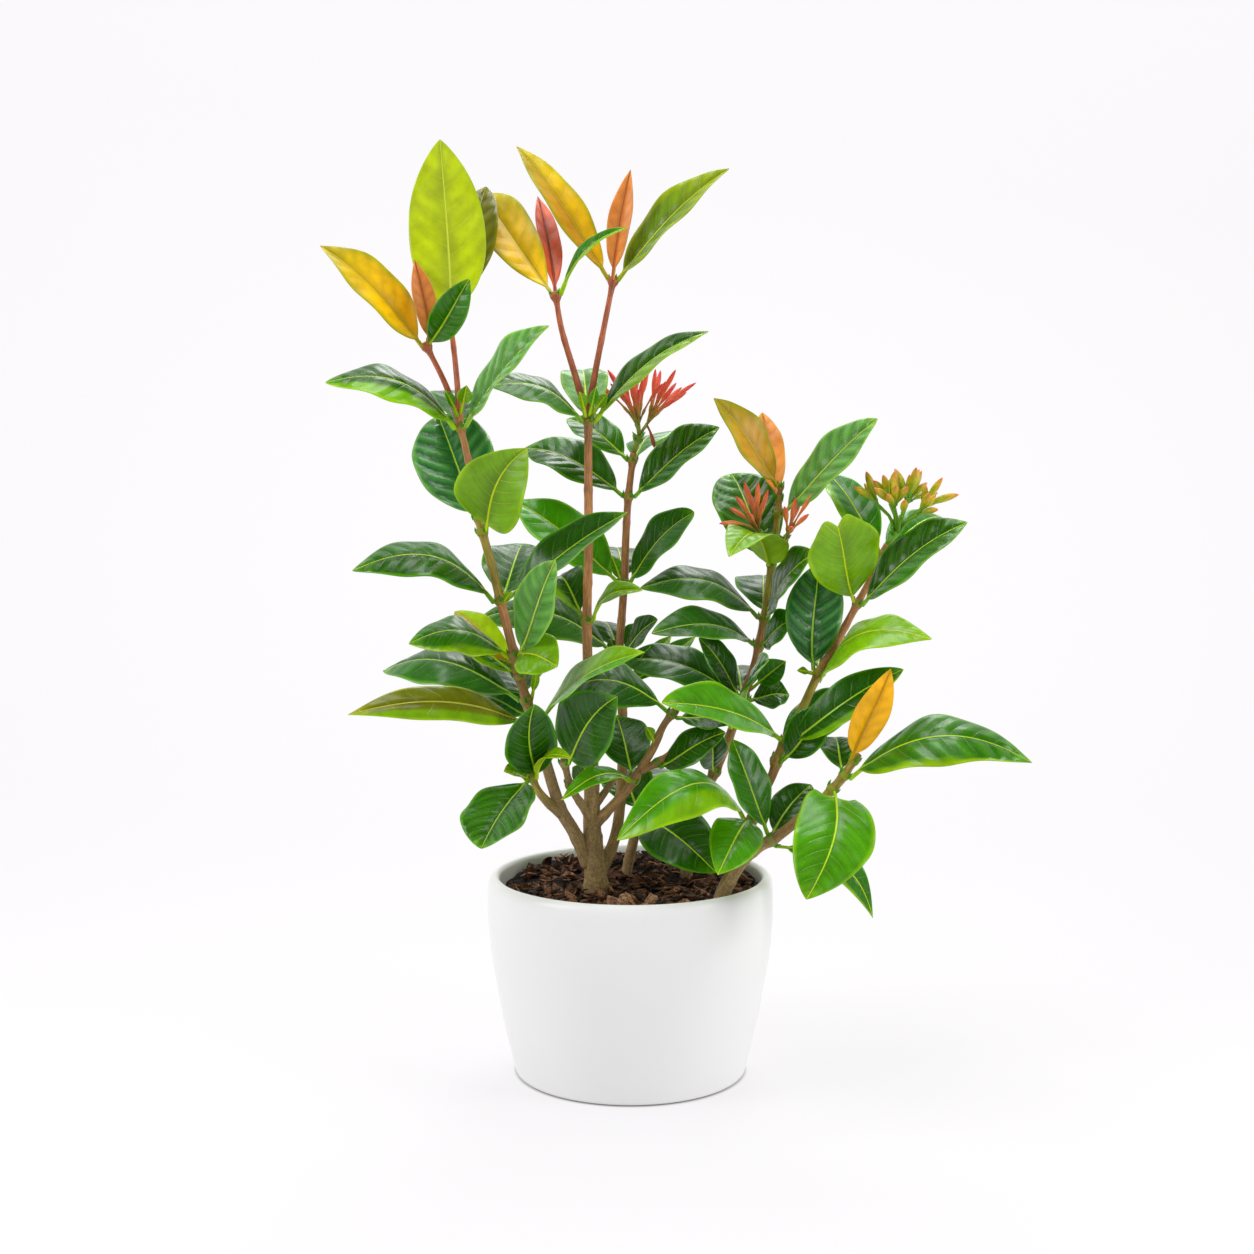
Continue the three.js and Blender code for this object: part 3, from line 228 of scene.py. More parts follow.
# ---- whorls of leaves: name, stem, height of the joint, leaves -----------------------------------
WHORLS = [
    # tips of the left stem
    ("upper_left_lime", "left_fork", 470,
     leaf((-113, -34, 576), 46, -0.06, (0, -1, 0.15), 0.1, "sunny", "broad", quilt=0.45)),
    ("upper_left_shade", "left_fork", 468,
     leaf((-90, 22, 556), 34, 0.06, (-0.3, -1, 0.5), 0.15, "shade", stalk=0.16, quilt=0.9)),
    ("upper_left_gold", "left_tip", 455,
     leaf((-182, -52, 512), 32, 0.1, (-0.3, -0.7, 1), 0.25, "gold", "pointed")),
    ("upper_left_folded", "left_tip", 455,
     leaf((-94, -62, 492), 20, 0.1, (0.5, -0.8, 0.6), 0.4, "mid", stalk=0.05, quilt=0.5)),
    ("upper_left_orange", "left_tip", 455,
     leaf((-127, -50, 504), 14, 0.05, (0.3, -1, 0.2), 0.3, "orange", "pointed", stalk=0.1)),
    # tips of the centre stem
    ("top_gold", "centre_left", 486,
     leaf((-93, 34, 552), 32, 0.05, (-0.1, -1, 0.5), 0.12, "gold", "obovate", quilt=0.4)),
    ("top_red", "centre_left", 486,
     leaf((-59, 45, 553), 15, 0.04, (0.4, -1, 0.2), 0.3, "red", "pointed", stalk=0.08)),
    ("top_slender", "centre_left", 486,
     leaf((-2, -48, 523), 13, 0.16, (0.2, -0.8, 1), 0.2, "mid/lime", "pointed", stalk=0.12, turned=0.4)),
    ("top_olive", "centre_right", 497,
     leaf((-71, 24, 581), 26, 0.06, (0.5, -0.9, 0.6), 0.2, "gold/olive", "pointed")),
    ("top_orange", "centre_right", 497,
     leaf((0, -8, 562), 15.5, 0.03, (-0.4, -1, 0.1), 0.25, "orange", "pointed", stalk=0.1)),
    ("top_green", "centre_right", 497,
     leaf((59, -20, 561), 34, 0.07, (-0.3, -0.8, 1), 0.25, "leafy", "pointed", quilt=0.6)),
    # left stem, from the top down
    ("crown_left", "left", 406,
     leaf((-178, -66, 432), 38, 0.22, (-0.1, -0.65, 1), -0.16, "dark/lime", quilt=0.5, turned=0.4),
     leaf((-47, -78, 464), 40, 0.06, (-0.6, -0.8, 1), 0.2, "pale", "pointed", quilt=1.2),
     leaf((-112, 42, 424), 36, 0.18, (0, 0.4, 1), -0.1, "dark")),
    ("left_second", "left", 352,
     leaf((-121, 24, 414), 50, 0.02, (-0.1, -1, 0.6), 0.1, "blue", "round", quilt=1.7)),
    ("left_second_lime", "left", 344,
     leaf((-60, -74, 394), 43, 0.05, (-0.2, -1, -0.15), 0.4, "lime", "egg", bow=-0.12)),
    ("left_third", "left", 303,
     leaf((-162, -78, 323), 40, 0.26, (0, -0.6, 1), -0.15, "grey/dark", quilt=0.7),
     leaf((-2, -52, 356), 32, 0.05, (-0.4, -0.8, 1), 0.3, "dark/grey", "pointed"),
     leaf((-68, 14, 334), 40, 0.08, (0, -0.9, 1), 0.1, "dark")),
    ("left_fourth", "left", 270,
     leaf((-131, -66, 279), 38, 0.25, (0, -0.6, 1), -0.2, "mid/lime", turned=0.6),
     leaf((-44, -74, 329), 30, 0.05, (-0.5, -1, 0.3), 0.2, "pale", quilt=0.9),
     leaf((-43, -70, 266), 31, 0.16, (0, -1, 0.6), 0.1, "lime")),
    ("left_fourth_young", "left", 262,
     leaf((-109, -8, 293), 20, 0.12, (0.1, -0.8, 0.8), 0.1, "sunny/olive")),
    ("left_inner_leaf", "left", 257,
     leaf((-102, -8, 275), 19, 0.1, (0, -0.9, 0.8), 0.1, "mid/lime", turned=0.5)),
    ("left_fifth", "left", 242,
     leaf((-154, -8, 256), 40, 0.2, (0, -0.55, 1), -0.2, "dark/grey"),
     leaf((-84, 36, 258), 46, 0.08, (0, -0.9, 1), 0.1, "dark")),
    ("left_fifth_lime", "left", 228,
     leaf((-163, -96, 241), 27, 0.16, (0, -0.75, 0.7), -0.1, "moss/lime", "pointed", turned=0.4),
     leaf((8, -84, 276), 34, 0.1, (-0.3, -0.5, 1), 0.15, "lime/bright", "pointed")),
    ("left_under_leaf", "left", 230, leaf((-98, 10, 238), 34, 0.1, (0, -0.9, 0.9), 0.05, "blue")),
    ("left_twig_leaves", "left_twig", 195,
     leaf((-57, -66, 243), 33, 0.05, (0.3, -1, 0.3), 0.15, "dark", bow=-0.12),
     leaf((-88, -84, 160), 45, 0.06, (-0.6, -1, 0.5), 0.2, "mid/grey", "oval", quilt=1),
     leaf((-35, -80, 213), 12, 0.2, (0, -0.8, 1), 0.2, "lime"),
     leaf((-76, -56, 201), 14, 0.2, (0, -0.8, 1), 0.2, "lime")),
    # centre stem
    ("centre_crown", "centre", 410,
     leaf((-85, -34, 431), 33, 0.2, (0.1, -0.65, 1), -0.15, "dark/grey"),
     leaf((47, -26, 464), 31, 0.11, (-0.4, -0.55, 0.95), 0.1, "dark/lime", "pointed", quilt=0.8,
          turned=0.14),
     leaf((-31, 56, 444), 30, 0.15, (0, -0.8, 1), 0.1, "bright")),
    ("centre_middle", "centre", 288,
     leaf((-49, 22, 304), 28, 0.5, (0, -0.8, 1), 0.1, "dark/lime", turned=0.5),
     leaf((7, -44, 309), 18, 0.22, (0, -0.8, 1), 0.15, "lime")),
    ("low_twig_leaves", "low_twig", 202,
     leaf((-8, -76, 249), 42, 0.04, (-0.3, -1, 0.2), 0.15, "dark", "broad", bow=-0.08)),
    ("low_twig_small", "low_twig", 188, leaf((-27, -44, 202), 15, 0.1, (0, -1, 0.5), 0.1, "dark")),
    # back stem, which carries the red head
    ("back_crown", "back", 386,
     leaf((-41, 60, 413), 30, 0.12, (0.2, -0.7, 1), 0.1, "mid"),
     leaf((30, 108, 392), 32, 0.2, (0, 0.5, 1), -0.1, "mid")),
    ("back_second", "back", 363,
     leaf((56, 22, 407), 36, 0.08, (-0.3, -0.8, 1), 0.2, "dark/grey", quilt=1.2),
     leaf((-69, 66, 394), 40, 0.13, (0.2, -0.8, 1), 0.1, "grey/dark", quilt=0.8)),
    ("back_third", "back", 308,
     leaf((40, 14, 354), 34, 0.12, (-0.4, -0.8, 1), 0.1, "dark/grey", "round"),
     leaf((-77, 62, 360), 42, 0.08, (0.3, -0.9, 0.9), 0.15, "bright", "pointed"),
     leaf((-14, 112, 318), 38, 0.2, (0, 0.5, 1), -0.1, "dark")),
    ("back_fourth", "back", 263,
     leaf((-96, 22, 286), 42, 0.22, (0.2, -0.65, 1), -0.1, "dark/grey"),
     leaf((17, 6, 287), 24, 0.1, (-0.2, -0.8, 1), 0.1, "dark"),
     leaf((-30, 108, 262), 40, 0.22, (0, 0.5, 1), -0.1, "dark")),
    # low right branch of the trunk
    ("low_branch", "low_right", 233,
     leaf((-47, -27, 242), 44, 0.25, (0, -0.6, 1), -0.15, "dark"),
     leaf((64, -44, 230), 22, 0.1, (0, -0.8, 1), 0.1, "dark")),
    ("low_fork_leaf", "low_fork", 203, leaf((57, -52, 224), 24, 0.12, (-0.1, -0.9, 0.8), 0.1, "dark")),
    ("low_branch_upper", "low_right", 191,
     leaf((-9, 14, 225), 34, 0.08, (0.2, -1, 0.6), 0.1, "dark"),
     leaf((-41, -74, 187), 15, 0.2, (0, -0.8, 1), 0.1, "bright", "pointed")),
    # middle stem
    ("middle_gold", "middle", 369.6,
     leaf((52, 14, 425), 30, 0.08, (0.4, -0.9, 0.7), 0.2, "olive", "pointed")),
    ("middle_orange", "middle", 362, leaf((86, 66, 417), 20, 0.04, (0.2, -1, 0.2), 0.2, "tan")),
    ("middle_green", "middle", 352,
     leaf((153, 2, 412), 36, 0.05, (-0.4, -0.8, 0.9), 0.15, "pale", quilt=1.1)),
    ("middle_first", "middle", 320,
     leaf((60, -22, 328), 36, 0.3, (-0.2, -0.7, 1), 0.1, "lime", "heart", stalk=0.02),
     leaf((67, 78, 377), 44, 0.1, (0, -0.9, 1), 0.1, "dark/grey", "round", quilt=1.6)),
    ("middle_second", "middle", 285,
     leaf((6, 14, 306), 38, 0.22, (0.1, -0.6, 1), -0.15, "dark/grey"),
     leaf((113, -14, 330), 40, 0.1, (-0.4, -0.8, 1), 0.1, "dark", quilt=0.5),
     leaf((92, 112, 300), 38, 0.22, (0, 0.5, 1), -0.1, "dark")),
    ("middle_third", "middle", 268,
     leaf((13, -14, 280), 30, 0.15, (0.1, -0.8, 1), 0.1, "grey"),
     leaf((104, 4, 288), 26, 0.12, (-0.3, -0.9, 0.8), 0.1, "mid")),
    ("middle_fourth", "middle", 234,
     leaf((-7, 42, 257), 38, 0.15, (0.2, -0.7, 1), 0, "dark/grey"),
     leaf((102, 28, 236), 28, 0.15, (0, -0.7, 1), 0.1, "dark"),
     leaf((84, -32, 265), 28, 0.05, (-0.1, -1, 0.7), 0.1, "mid"),
     leaf((43, 8, 275), 24, 0.1, (0.3, -0.9, 0.8), 0.1, "dark"),
     leaf((70, 104, 236), 36, 0.22, (0, 0.5, 1), -0.1, "dark")),
    ("middle_low", "middle", 188, leaf((49, -10, 220), 20, 0.1, (0, -0.9, 0.8), 0.1, "dark")),
    # tall right stem, which carries the yellow-green head
    ("right_top", "right_tall", 328,
     leaf((128, 58, 378), 30, 0.08, (0.3, -0.9, 0.8), 0.15, "mid/lime", "pointed", turned=0.5),
     leaf((201, 56, 350), 28, 0.1, (-0.3, -0.9, 0.8), 0.15, "mid")),
    ("right_crown", "right_tall", 297,
     leaf((127, -18, 346), 47, 0.05, (0, -1, 0.5), 0.1, "lime", "obovate", notch=4),
     leaf((205, -24, 349), 38, 0.1, (-0.4, -0.7, 1), 0.15, "dark/grey", quilt=0.9)),
    ("right_second", "right_tall", 254,
     leaf((118, 8, 322), 36, 0.06, (0, -1, 0.5), 0.1, "blue", quilt=1.7),
     leaf((179, -58, 281), 42, 0.24, (0, -0.7, 1), -0.1, "lime", "heart", stalk=0),
     leaf((134, 74, 262), 36, 0.2, (0, 0.5, 1), -0.1, "dark")),
    ("right_third", "right_tall", 212,
     leaf((18, -80, 246), 36, 0.08, (0.3, -0.8, 1), 0.2, "bright"),
     leaf((166, -34, 260), 26, 0.12, (-0.3, -1, 0.6), 0.15, "dark/lime", turned=0.55)),
    ("right_lower_leaf", "right_tall", 202,
     leaf((121, -16, 234), 26, 0.12, (0, -1, 0.7), 0.1, "dark", quilt=0.5)),
    ("right_third_low", "right_tall", 199, leaf((151, 52, 235), 36, 0.12, (-0.3, -0.8, 1), 0.1, "dark")),
    ("rim_leaves", "right_tall", 164,
     leaf((51, -86, 145), 32, 0.15, (0, -1, 0.6), -0.05, "bright", "broad", stalk=0.12),
     leaf((-8, -84, 165), 42, 0.36, (0.1, -0.6, 1), -0.2, "bright/lime", turned=0.3)),
    # low right stem
    ("low_right_gold", "low_right_stem", 206,
     leaf((154, -64, 264), 21, 0.05, (0.2, -1, 0.3), 0.15, "amber", "pointed")),
    ("low_right_large", "low_right_stem", 197,
     leaf((237, -72, 209), 44, 0.27, (0, -0.65, 1), -0.15, "mid/lime", "pointed", quilt=0.9, turned=0.72),
     leaf((128, -6, 214), 24, 0.15, (0, -0.9, 0.9), 0.1, "dark")),
    ("low_right_heart", "low_right_stem", 188,
     leaf((102, -98, 133), 48, 0.1, (-0.1, -1, 0.5), -0.05, "bright", "heart", bow=-0.08, lobes=7,
          quilt=0.5)),
    ("low_right_hanging", "low_right_stem", 156,
     leaf((147, -50, 110), 18, 0.12, (-0.4, -1, 0.6), -0.1, "mid/lime", "pointed", turned=0.6, bow=-0.2),
     leaf((62, -34, 217), 30, 0.02, (0.7, -0.9, 0.4), 0.1, "mid"),
     leaf((113, -6, 184), 24, 0.1, (-0.2, -1, 0.8), 0.1, "dark")),
    # short stem behind the trunk
    ("short_stem_leaves", "short_stem", 160,
     leaf((52, -46, 137), 40, 0.16, (-0.2, -1, 0.8), 0.1, "dark"),
     leaf((-7, 60, 182), 34, 0.15, (0, -0.8, 1), 0.1, "dark"),
     leaf((14, 96, 172), 36, 0.2, (0, 0.5, 1), -0.1, "dark")),
]

# Small shoots in the axils: foot, tip, width, coat. Each foot is sunk in its stem.
SHOOTS = [
    ((-101, -41, 416), (-97, -50, 431), 9, "lime"),
    ((-104, -40, 414), (-110, -50, 428), 6, "bright"),
    ((-28, -11, 414), (-31, -20, 428), 7, "lime"),
    ((-25, -11, 415), (-21, -20, 431), 6, "bright"),
    ((-23, -9, 415), (-14, -16, 427), 7, "lime"),
    ((-60, -39, 243), (-56, -50, 263), 5, "lime"),
    ((-5, 32, 305), (-12, 34, 325), 9, "bright"),
    ((-5, 28, 261), (3, 44, 281), 11, "mid"),
    ((-7, 27, 252), (-13, 34, 272), 10, "grey"),
    ((-6, 25, 240), (27, 60, 271), 10, "lime"),
    ((-6, 25, 238), (43, 64, 270), 12, "bright"),
    ((78, 30, 240), (99, 20, 259), 17, "mid"),
    ((114, -5, 254), (103, -14, 257), 5, "lime"),
    ((65, 24, 214), (58, 8, 226), 7, "lime"),
    ((87, 33, 290), (94, 22, 301), 5, "lime"),
    ((-77, -45, 300), (-71, -54, 309), 5, "lime"),
    ((106, -9, 214), (100, -16, 222), 6, "bright"),
    ((15, -35, 214), (9, -42, 226), 7, "lime"),
]


# ---- small helpers -------------------------------------------------------------------------------
def unit(vector):
    return np.asarray(vector, float) / np.linalg.norm(vector)


def across(vector, axis):
    """The unit vector of what is left of a vector square to an axis."""
    vector = np.asarray(vector, float)
    return unit(vector - np.dot(vector, axis) * np.asarray(axis))


def smooth(low, high, value):
    share = np.clip((np.asarray(value, float) - low) / (high - low), 0, 1)
    return share * share * (3 - 2 * share)


def blend(first, second, share):
    return tuple(a + (b - a) * share for a, b in zip(first, second))


def seeded(state):
    """The part's own random draws, so that its buds can be repeated."""
    while True:
        state = (state * 1664525 + 1013904223) % 4294967296
        yield state / 4294967296


def random_of(name):
    return np.random.default_rng(sum(ord(letter) * (i + 7) for i, letter in enumerate(name)))


def place_object(name, data):
    thing = bpy.data.objects.new(name, data)
    bpy.context.scene.collection.objects.link(thing)
    return thing


def circle(radius, angle):
    return radius * math.cos(angle), radius * math.sin(angle)


def skin(rings, sides):
    """Faces between rings of corners. A ring of one corner is a point."""
    faces = []
    for low, high in zip(rings, rings[1:]):
        for k in range(sides):
            after = (k + 1) % sides
            if len(high) == 1:
                faces.append([low[k], low[after], high[0]])
            elif len(low) == 1:
                faces.append([low[0], high[after], high[k]])
            else:
                faces.append([low[k], low[after], high[after], high[k]])
    return faces


class Shell:
    """Vertices, faces and per-vertex values of a piece, gathered from its parts."""

    def __init__(self, *values):
        self.points = []
        self.faces = []
        self.values = {name: [] for name in values}
        self.count = 0

    def add(self, points, faces, **values):
        self.faces += [[corner + self.count for corner in face] for face in faces]
        self.points.append(np.asarray(points, float))
        self.count += len(points)
        for name, rows in self.values.items():
            rows.append(np.asarray(values[name], np.float32))

    def piece(self, name, material, replaced, slot, flat=False):
        mesh = bpy.data.meshes.new(name)
        mesh.from_pydata((np.concatenate(self.points) * MM).tolist(), [], self.faces)
        for value, rows in self.values.items():
            rows = np.concatenate(rows)
            kind, key = ("FLOAT_COLOR", "color") if rows.shape[1] == 4 else ("FLOAT_VECTOR", "vector")
            mesh.attributes.new(value, kind, "POINT").data.foreach_set(key, rows.ravel())
        if not flat:
            mesh.polygons.foreach_set("use_smooth", [True] * len(mesh.polygons))
        mesh.materials.append(material)
        piece = place_object(name, mesh)
        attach(piece, "root")
        if replaced:
            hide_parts(replaced)


def tube(points, radii, sides, swell=None):
    """Points, faces and (angle, ring) of a closed tube. A radius of 0 at an end makes a point."""
    points = [np.asarray(p, float) for p in points]
    side = np.array([1, 0.2, 0.1])
    rings = []
    vertices = []
    places = []
    for i, point in enumerate(points):
        along = unit(points[min(i + 1, len(points) - 1)] - points[max(i - 1, 0)])
        side = across(side, along)
        other = np.cross(along, side)
        ring = []
        for k in range(sides if radii[i] > 0 else 1):
            angle = 2 * math.pi * k / sides
            radius = radii[i] * (swell(angle, i) if swell else 1)
            ring.append(len(vertices))
            vertices.append(point + radius * (math.cos(angle) * side + math.sin(angle) * other))
            places.append((angle, i))
        rings.append(ring)
    faces = skin(rings, sides)
    if len(rings[0]) > 1:
        faces.append(list(reversed(rings[0])))
    if len(rings[-1]) > 1:
        faces.append(list(rings[-1]))
    return vertices, faces, places


def around(places, scale, along):
    """Where a tube's vertices lie on its surface, for grain: round it, and along it in mm."""
    return [(*circle(scale, angle), along[i]) for angle, i in places]


# ---- node materials ------------------------------------------------------------------------------
class Nodes:
    """A material's node tree, with short ways to add and join nodes."""

    def __init__(self, name):
        self.material = bpy.data.materials.new(name)
        self.material.use_nodes = True
        self.tree = self.material.node_tree
        self.shader = self.tree.nodes["Principled BSDF"]

    def put(self, target, value):
        if isinstance(value, bpy.types.NodeSocket):
            self.tree.links.new(value, target)
        else:
            target.default_value = value

    def fill(self, kind, *values, **settings):
        """The first output of a new node, whose inputs take the values in their order."""
        node = self.tree.nodes.new("ShaderNode" + kind)
        for name, setting in settings.items():
            setattr(node, name, setting)
        for socket, value in zip(node.inputs, values):
            self.put(socket, value)
        return node.outputs[0]

    def math(self, operation, *values):
        return self.fill("Math", *values, operation=operation)

    def times(self, *values):
        return functools.reduce(lambda first, second: self.math("MULTIPLY", first, second), values)

    def less(self, first, second):
        return self.math("SUBTRACT", first, second)

    def over(self, first, second):
        return self.math("DIVIDE", first, second)

    def plus(self, first, second):
        return self.math("ADD", first, second)

    def scaled(self, value, factor, added):
        return self.math("MULTIPLY_ADD", value, factor, added)

    def ramp(self, value, low, high, start=0.0, end=1.0):
        return self.fill("MapRange", value, low, high, start, end, interpolation_type="SMOOTHSTEP")

    def mix(self, factor, first, second, kind="MIX"):
        node = self.tree.nodes.new("ShaderNodeMix")
        node.data_type = "RGBA"
        node.blend_type = kind
        for name, value in (("Factor", factor), ("A", first), ("B", second)):
            self.put(node.inputs[name], value)
        return node.outputs["Result"]

    def shade(self, colour, value):
        return self.mix(1.0, colour, self.vector(value, value, value), "MULTIPLY")

    def attribute(self, name):
        """A per-vertex value as a colour, as a vector, and its alpha."""
        node = self.tree.nodes.new("ShaderNodeAttribute")
        node.attribute_name = name
        return [node.outputs[key] for key in ("Color", "Vector", "Alpha")]

    def parts(self, vector):
        node = self.tree.nodes.new("ShaderNodeSeparateXYZ")
        self.put(node.inputs[0], vector)
        return node.outputs

    def vector(self, *values):
        return self.fill("CombineXYZ", *values)

    def place(self):
        return self.tree.nodes.new("ShaderNodeTexCoord").outputs["Object"]

    def noise(self, vector, scale, detail=3.0, rough=0.5):
        return self.texture("Noise", vector, Scale=scale, Detail=detail, Roughness=rough)

    def cells(self, vector, scale, feature="DISTANCE_TO_EDGE"):
        return self.texture("Voronoi", vector, feature, Scale=scale)

    def texture(self, kind, vector, feature=None, **numbers):
        node = self.tree.nodes.new("ShaderNodeTex" + kind)
        if feature:
            node.feature = feature
        self.put(node.inputs["Vector"], vector)
        for name, number in numbers.items():
            node.inputs[name].default_value = number
        return node.outputs[0]

    def bump(self, height, strength, distance):
        node = self.tree.nodes.new("ShaderNodeBump")
        node.inputs["Strength"].default_value = strength
        node.inputs["Distance"].default_value = distance
        self.put(node.inputs["Height"], height)
        self.put(self.shader.inputs["Normal"], node.outputs[0])

    def set(self, **values):
        for name, value in values.items():
            self.put(self.shader.inputs[name.replace("_", " ")], value)


def colour4(colour):
    return (*colour, 1.0)


def leaf_material(name, gloss, vein_strength):
    """Blades, from what their vertices hold: blade is (mm from the midrib, mm along, half width in
    mm), nerve is (share of the length, mm between side veins, 1 on the upper face), and tint's
    alpha is the height in mm of the blade between its veins."""
    n = Nodes(name)
    x, s, half = n.parts(n.attribute("blade")[1])
    share, spacing, upper = n.parts(n.attribute("nerve")[1])
    tint, _, quilt = n.attribute("tint")
    away = n.math("ABSOLUTE", x)
    side = n.math("GREATER_THAN", x, 0.0)
    out = n.over(away, half)
    # side veins, which curve forward from the midrib
    reach = n.times(away, n.scaled(out, 0.45, 0.4))
    turn = n.scaled(side, 0.4, n.over(n.less(s, reach), spacing))
    gap = n.times(n.math("ABSOLUTE", n.less(n.math("FRACT", turn), 0.5)), spacing)
    fade = n.ramp(out, 0.45, 0.92, 1.0, 0.0)
    line = n.times(n.ramp(gap, 0.1, 0.5, 1.0, 0.0), fade)
    rib = n.ramp(n.over(away, n.scaled(share, -0.8, 1.3)), 0.35, 0.8, 1.0, 0.0)
    flat = n.vector(x, s, 0.0)
    net = n.ramp(n.cells(flat, 0.55), 0.0, 0.1, 1.0, 0.0)
    # light and shade on the blade, which swells between its veins
    place = n.place()
    patch = n.ramp(n.noise(place, 70.0, 4.0, 0.6), 0.25, 0.75, 0.8, 1.18)
    half_gap = n.times(spacing, 0.5)
    body = n.times(n.ramp(out, 0.05, 0.3), n.ramp(out, 0.75, 1.0, 1.0, 0.0))
    # painted light and shade of the quilting: lighter on the swells between the side veins, darker in the
    # valleys at them
    swell = n.times(n.less(n.ramp(gap, 0.0, half_gap), 0.45), quilt)
    # tone: random patches, darker towards the midrib, and the painted quilting light and shade
    shade = n.times(patch, n.ramp(out, 0.0, 0.4, 0.8, 1.0), n.plus(n.times(swell, body, 0.34), 1.0))
    colour = n.shade(tint, shade)
    vein = n.attribute("vein")[0]
    # veins and midrib in their own colour, and a painted highlight that pales the swells towards the vein
    # colour
    for factor in (n.times(net, 0.05), n.times(line, vein_strength), rib,
                   n.times(n.math("MAXIMUM", swell, 0.0), body, 0.1)):
        colour = n.mix(factor, colour, vein)
    rough = n.scaled(n.noise(place, 90.0, 2.0), 0.06, gloss - 0.03)
    n.set(Base_Color=colour, Roughness=n.scaled(upper, n.less(rough, 0.6), 0.6), Specular_IOR_Level=0.33)
    # relief
    quilted = n.times(n.math("POWER", n.over(gap, half_gap), 0.85), body, quilt)
    marks = n.scaled(line, -0.05, n.times(rib, -0.3))
    pores = n.times(n.noise(flat, 1.6, 2.0), 0.025)
    height = n.plus(n.scaled(quilted, 0.35, marks), pores)
    n.bump(n.times(height, n.scaled(upper, 1.4, -0.4)), 1.0, 0.001)
    return n.material


def stem_material():
    """Bark and young wood, from each vertex's tint, whose alpha is its age, and its grain."""
    n = Nodes("wood")
    tint, _, age = n.attribute("tint")
    round_x, round_y, along = n.parts(n.attribute("grain")[1])

    def drawn_out(factor):
        return n.vector(round_x, round_y, n.times(along, factor))

    streaks = n.noise(drawn_out(0.1), 1.3, 5.0, 0.6)
    cracks = n.noise(drawn_out(0.35), 1.7, 4.0, 0.7)
    specks = n.ramp(n.cells(drawn_out(0.5), 0.55, "F1"), 0.1, 0.26, 1.0, 0.0)
    young = n.ramp(streaks, 0.35, 0.65, 0.62, 1.32)
    old = n.times(n.ramp(cracks, 0.3, 0.66, 0.6, 1.22), n.ramp(streaks, 0.3, 0.7, 0.82, 1.16))
    patch = n.ramp(n.noise(n.place(), 55.0, 3.0), 0.3, 0.7, 0.78, 1.2)
    colour = n.shade(tint, n.plus(n.times(old, age), n.times(young, n.less(1.0, age))))
    colour = n.mix(n.times(specks, 0.12), n.shade(colour, patch), colour4(linear(196, 168, 130)))
    n.set(Base_Color=colour, Roughness=n.ramp(age, 0.0, 1.0, 0.42, 0.8))
    n.bump(n.scaled(specks, 0.25, n.times(cracks, n.scaled(age, 1.4, 0.15))), 0.8, 0.0007)
    return n.material


def glaze_material():
    n = Nodes("white_glaze")
    place = n.place()
    height = n.parts(place)[2]
    mottle = n.ramp(n.noise(place, 18.0, 3.0), 0.3, 0.7, 0.985, 1.0)
    foot = n.ramp(height, 0.0004, 0.0014, 1.0, 0.0)
    glaze = n.shade(colour4(linear(242, 242, 242)), mottle)
    n.set(Base_Color=n.mix(foot, glaze, colour4(linear(150, 142, 132))),
          Roughness=n.ramp(foot, 0.0, 1.0, 0.3, 0.8), Specular_IOR_Level=0.25)
    n.bump(n.noise(place, 220.0, 2.0), 0.04, 0.0004)
    return n.material


def bark_material():
    """Bark mix, whose grain runs along each shard."""
    n = Nodes("bark_mix")
    along, broad, thick = n.parts(n.attribute("grain")[1])
    fibre = n.noise(n.vector(n.times(along, 0.22), broad, thick), 1.6, 5.0, 0.7)
    lump = n.noise(n.place(), 170.0, 4.0, 0.6)
    shade = n.times(n.ramp(fibre, 0.34, 0.66, 0.3, 1.6), n.ramp(lump, 0.3, 0.7, 0.6, 1.25))
    n.set(Base_Color=n.shade(n.attribute("tint")[0], shade), Roughness=n.ramp(lump, 0.3, 0.7, 0.95, 0.55),
          Specular_IOR_Level=0.3)
    n.bump(n.scaled(lump, 0.8, fibre), 1.0, 0.0011)
    return n.material


def bud_material():
    n = Nodes("buds")
    streaks = n.noise(n.attribute("grain")[1], 1.2, 3.0)
    shade = n.ramp(streaks, 0.3, 0.7, 0.8, 1.18)
    n.set(Base_Color=n.shade(n.attribute("tint")[0], shade), Roughness=n.ramp(streaks, 0.3, 0.7, 0.38, 0.52))
    n.bump(streaks, 0.3, 0.0003)
    return n.material


MATURE = leaf_material("mature_leaf", 0.27, 0.16)
YOUNG = leaf_material("young_leaf", 0.4, 0.22)
WOOD_MATERIAL = stem_material()
GLAZE = glaze_material()
BARK_MATERIAL = bark_material()
BUD_MATERIAL = bud_material()


# ---- stems ---------------------------------------------------------------------------------------
def spline(rows, step):
    """Points every step along a centripetal Catmull-Rom curve, with each one's radius."""
    known = np.array(rows, float)
    ends = [2 * known[0] - known[1], *known, 2 * known[-1] - known[-2]]
    fine = []
    for p0, p1, p2, p3 in zip(ends, ends[1:], ends[2:], ends[3:]):
        d0, d1, d2 = (np.linalg.norm(b[:3] - a[:3]) ** 0.5 for a, b in ((p0, p1), (p1, p2), (p2, p3)))
        start = ((p1 - p0) / d0 - (p2 - p0) / (d0 + d1) + (p2 - p1) / d1) * d1
        stop = ((p2 - p1) / d1 - (p3 - p1) / (d1 + d2) + (p3 - p2) / d2) * d1
        for t in np.linspace(0, 1, 24, endpoint=False):
            fine.append(p1 + start * t + (3 * (p2 - p1) - 2 * start - stop) * t ** 2
                        + (2 * (p1 - p2) + start + stop) * t ** 3)
    fine.append(known[-1])
    fine = np.array(fine)
    run = length_along(fine[:, :3])
    places = np.linspace(0, run[-1], max(int(round(run[-1] / step)), 4) + 1)
    points = np.stack([np.interp(places, run, fine[:, k]) for k in range(3)], 1)
    return points, np.interp(points[:, 2], known[:, 2], known[:, 3])


def length_along(points):
    return np.concatenate([[0], np.cumsum(np.linalg.norm(np.diff(points, axis=0), axis=1))])


STEM_LINES = {name: spline(rows, STEM_STEP) for name, rows in STEMS.items()}


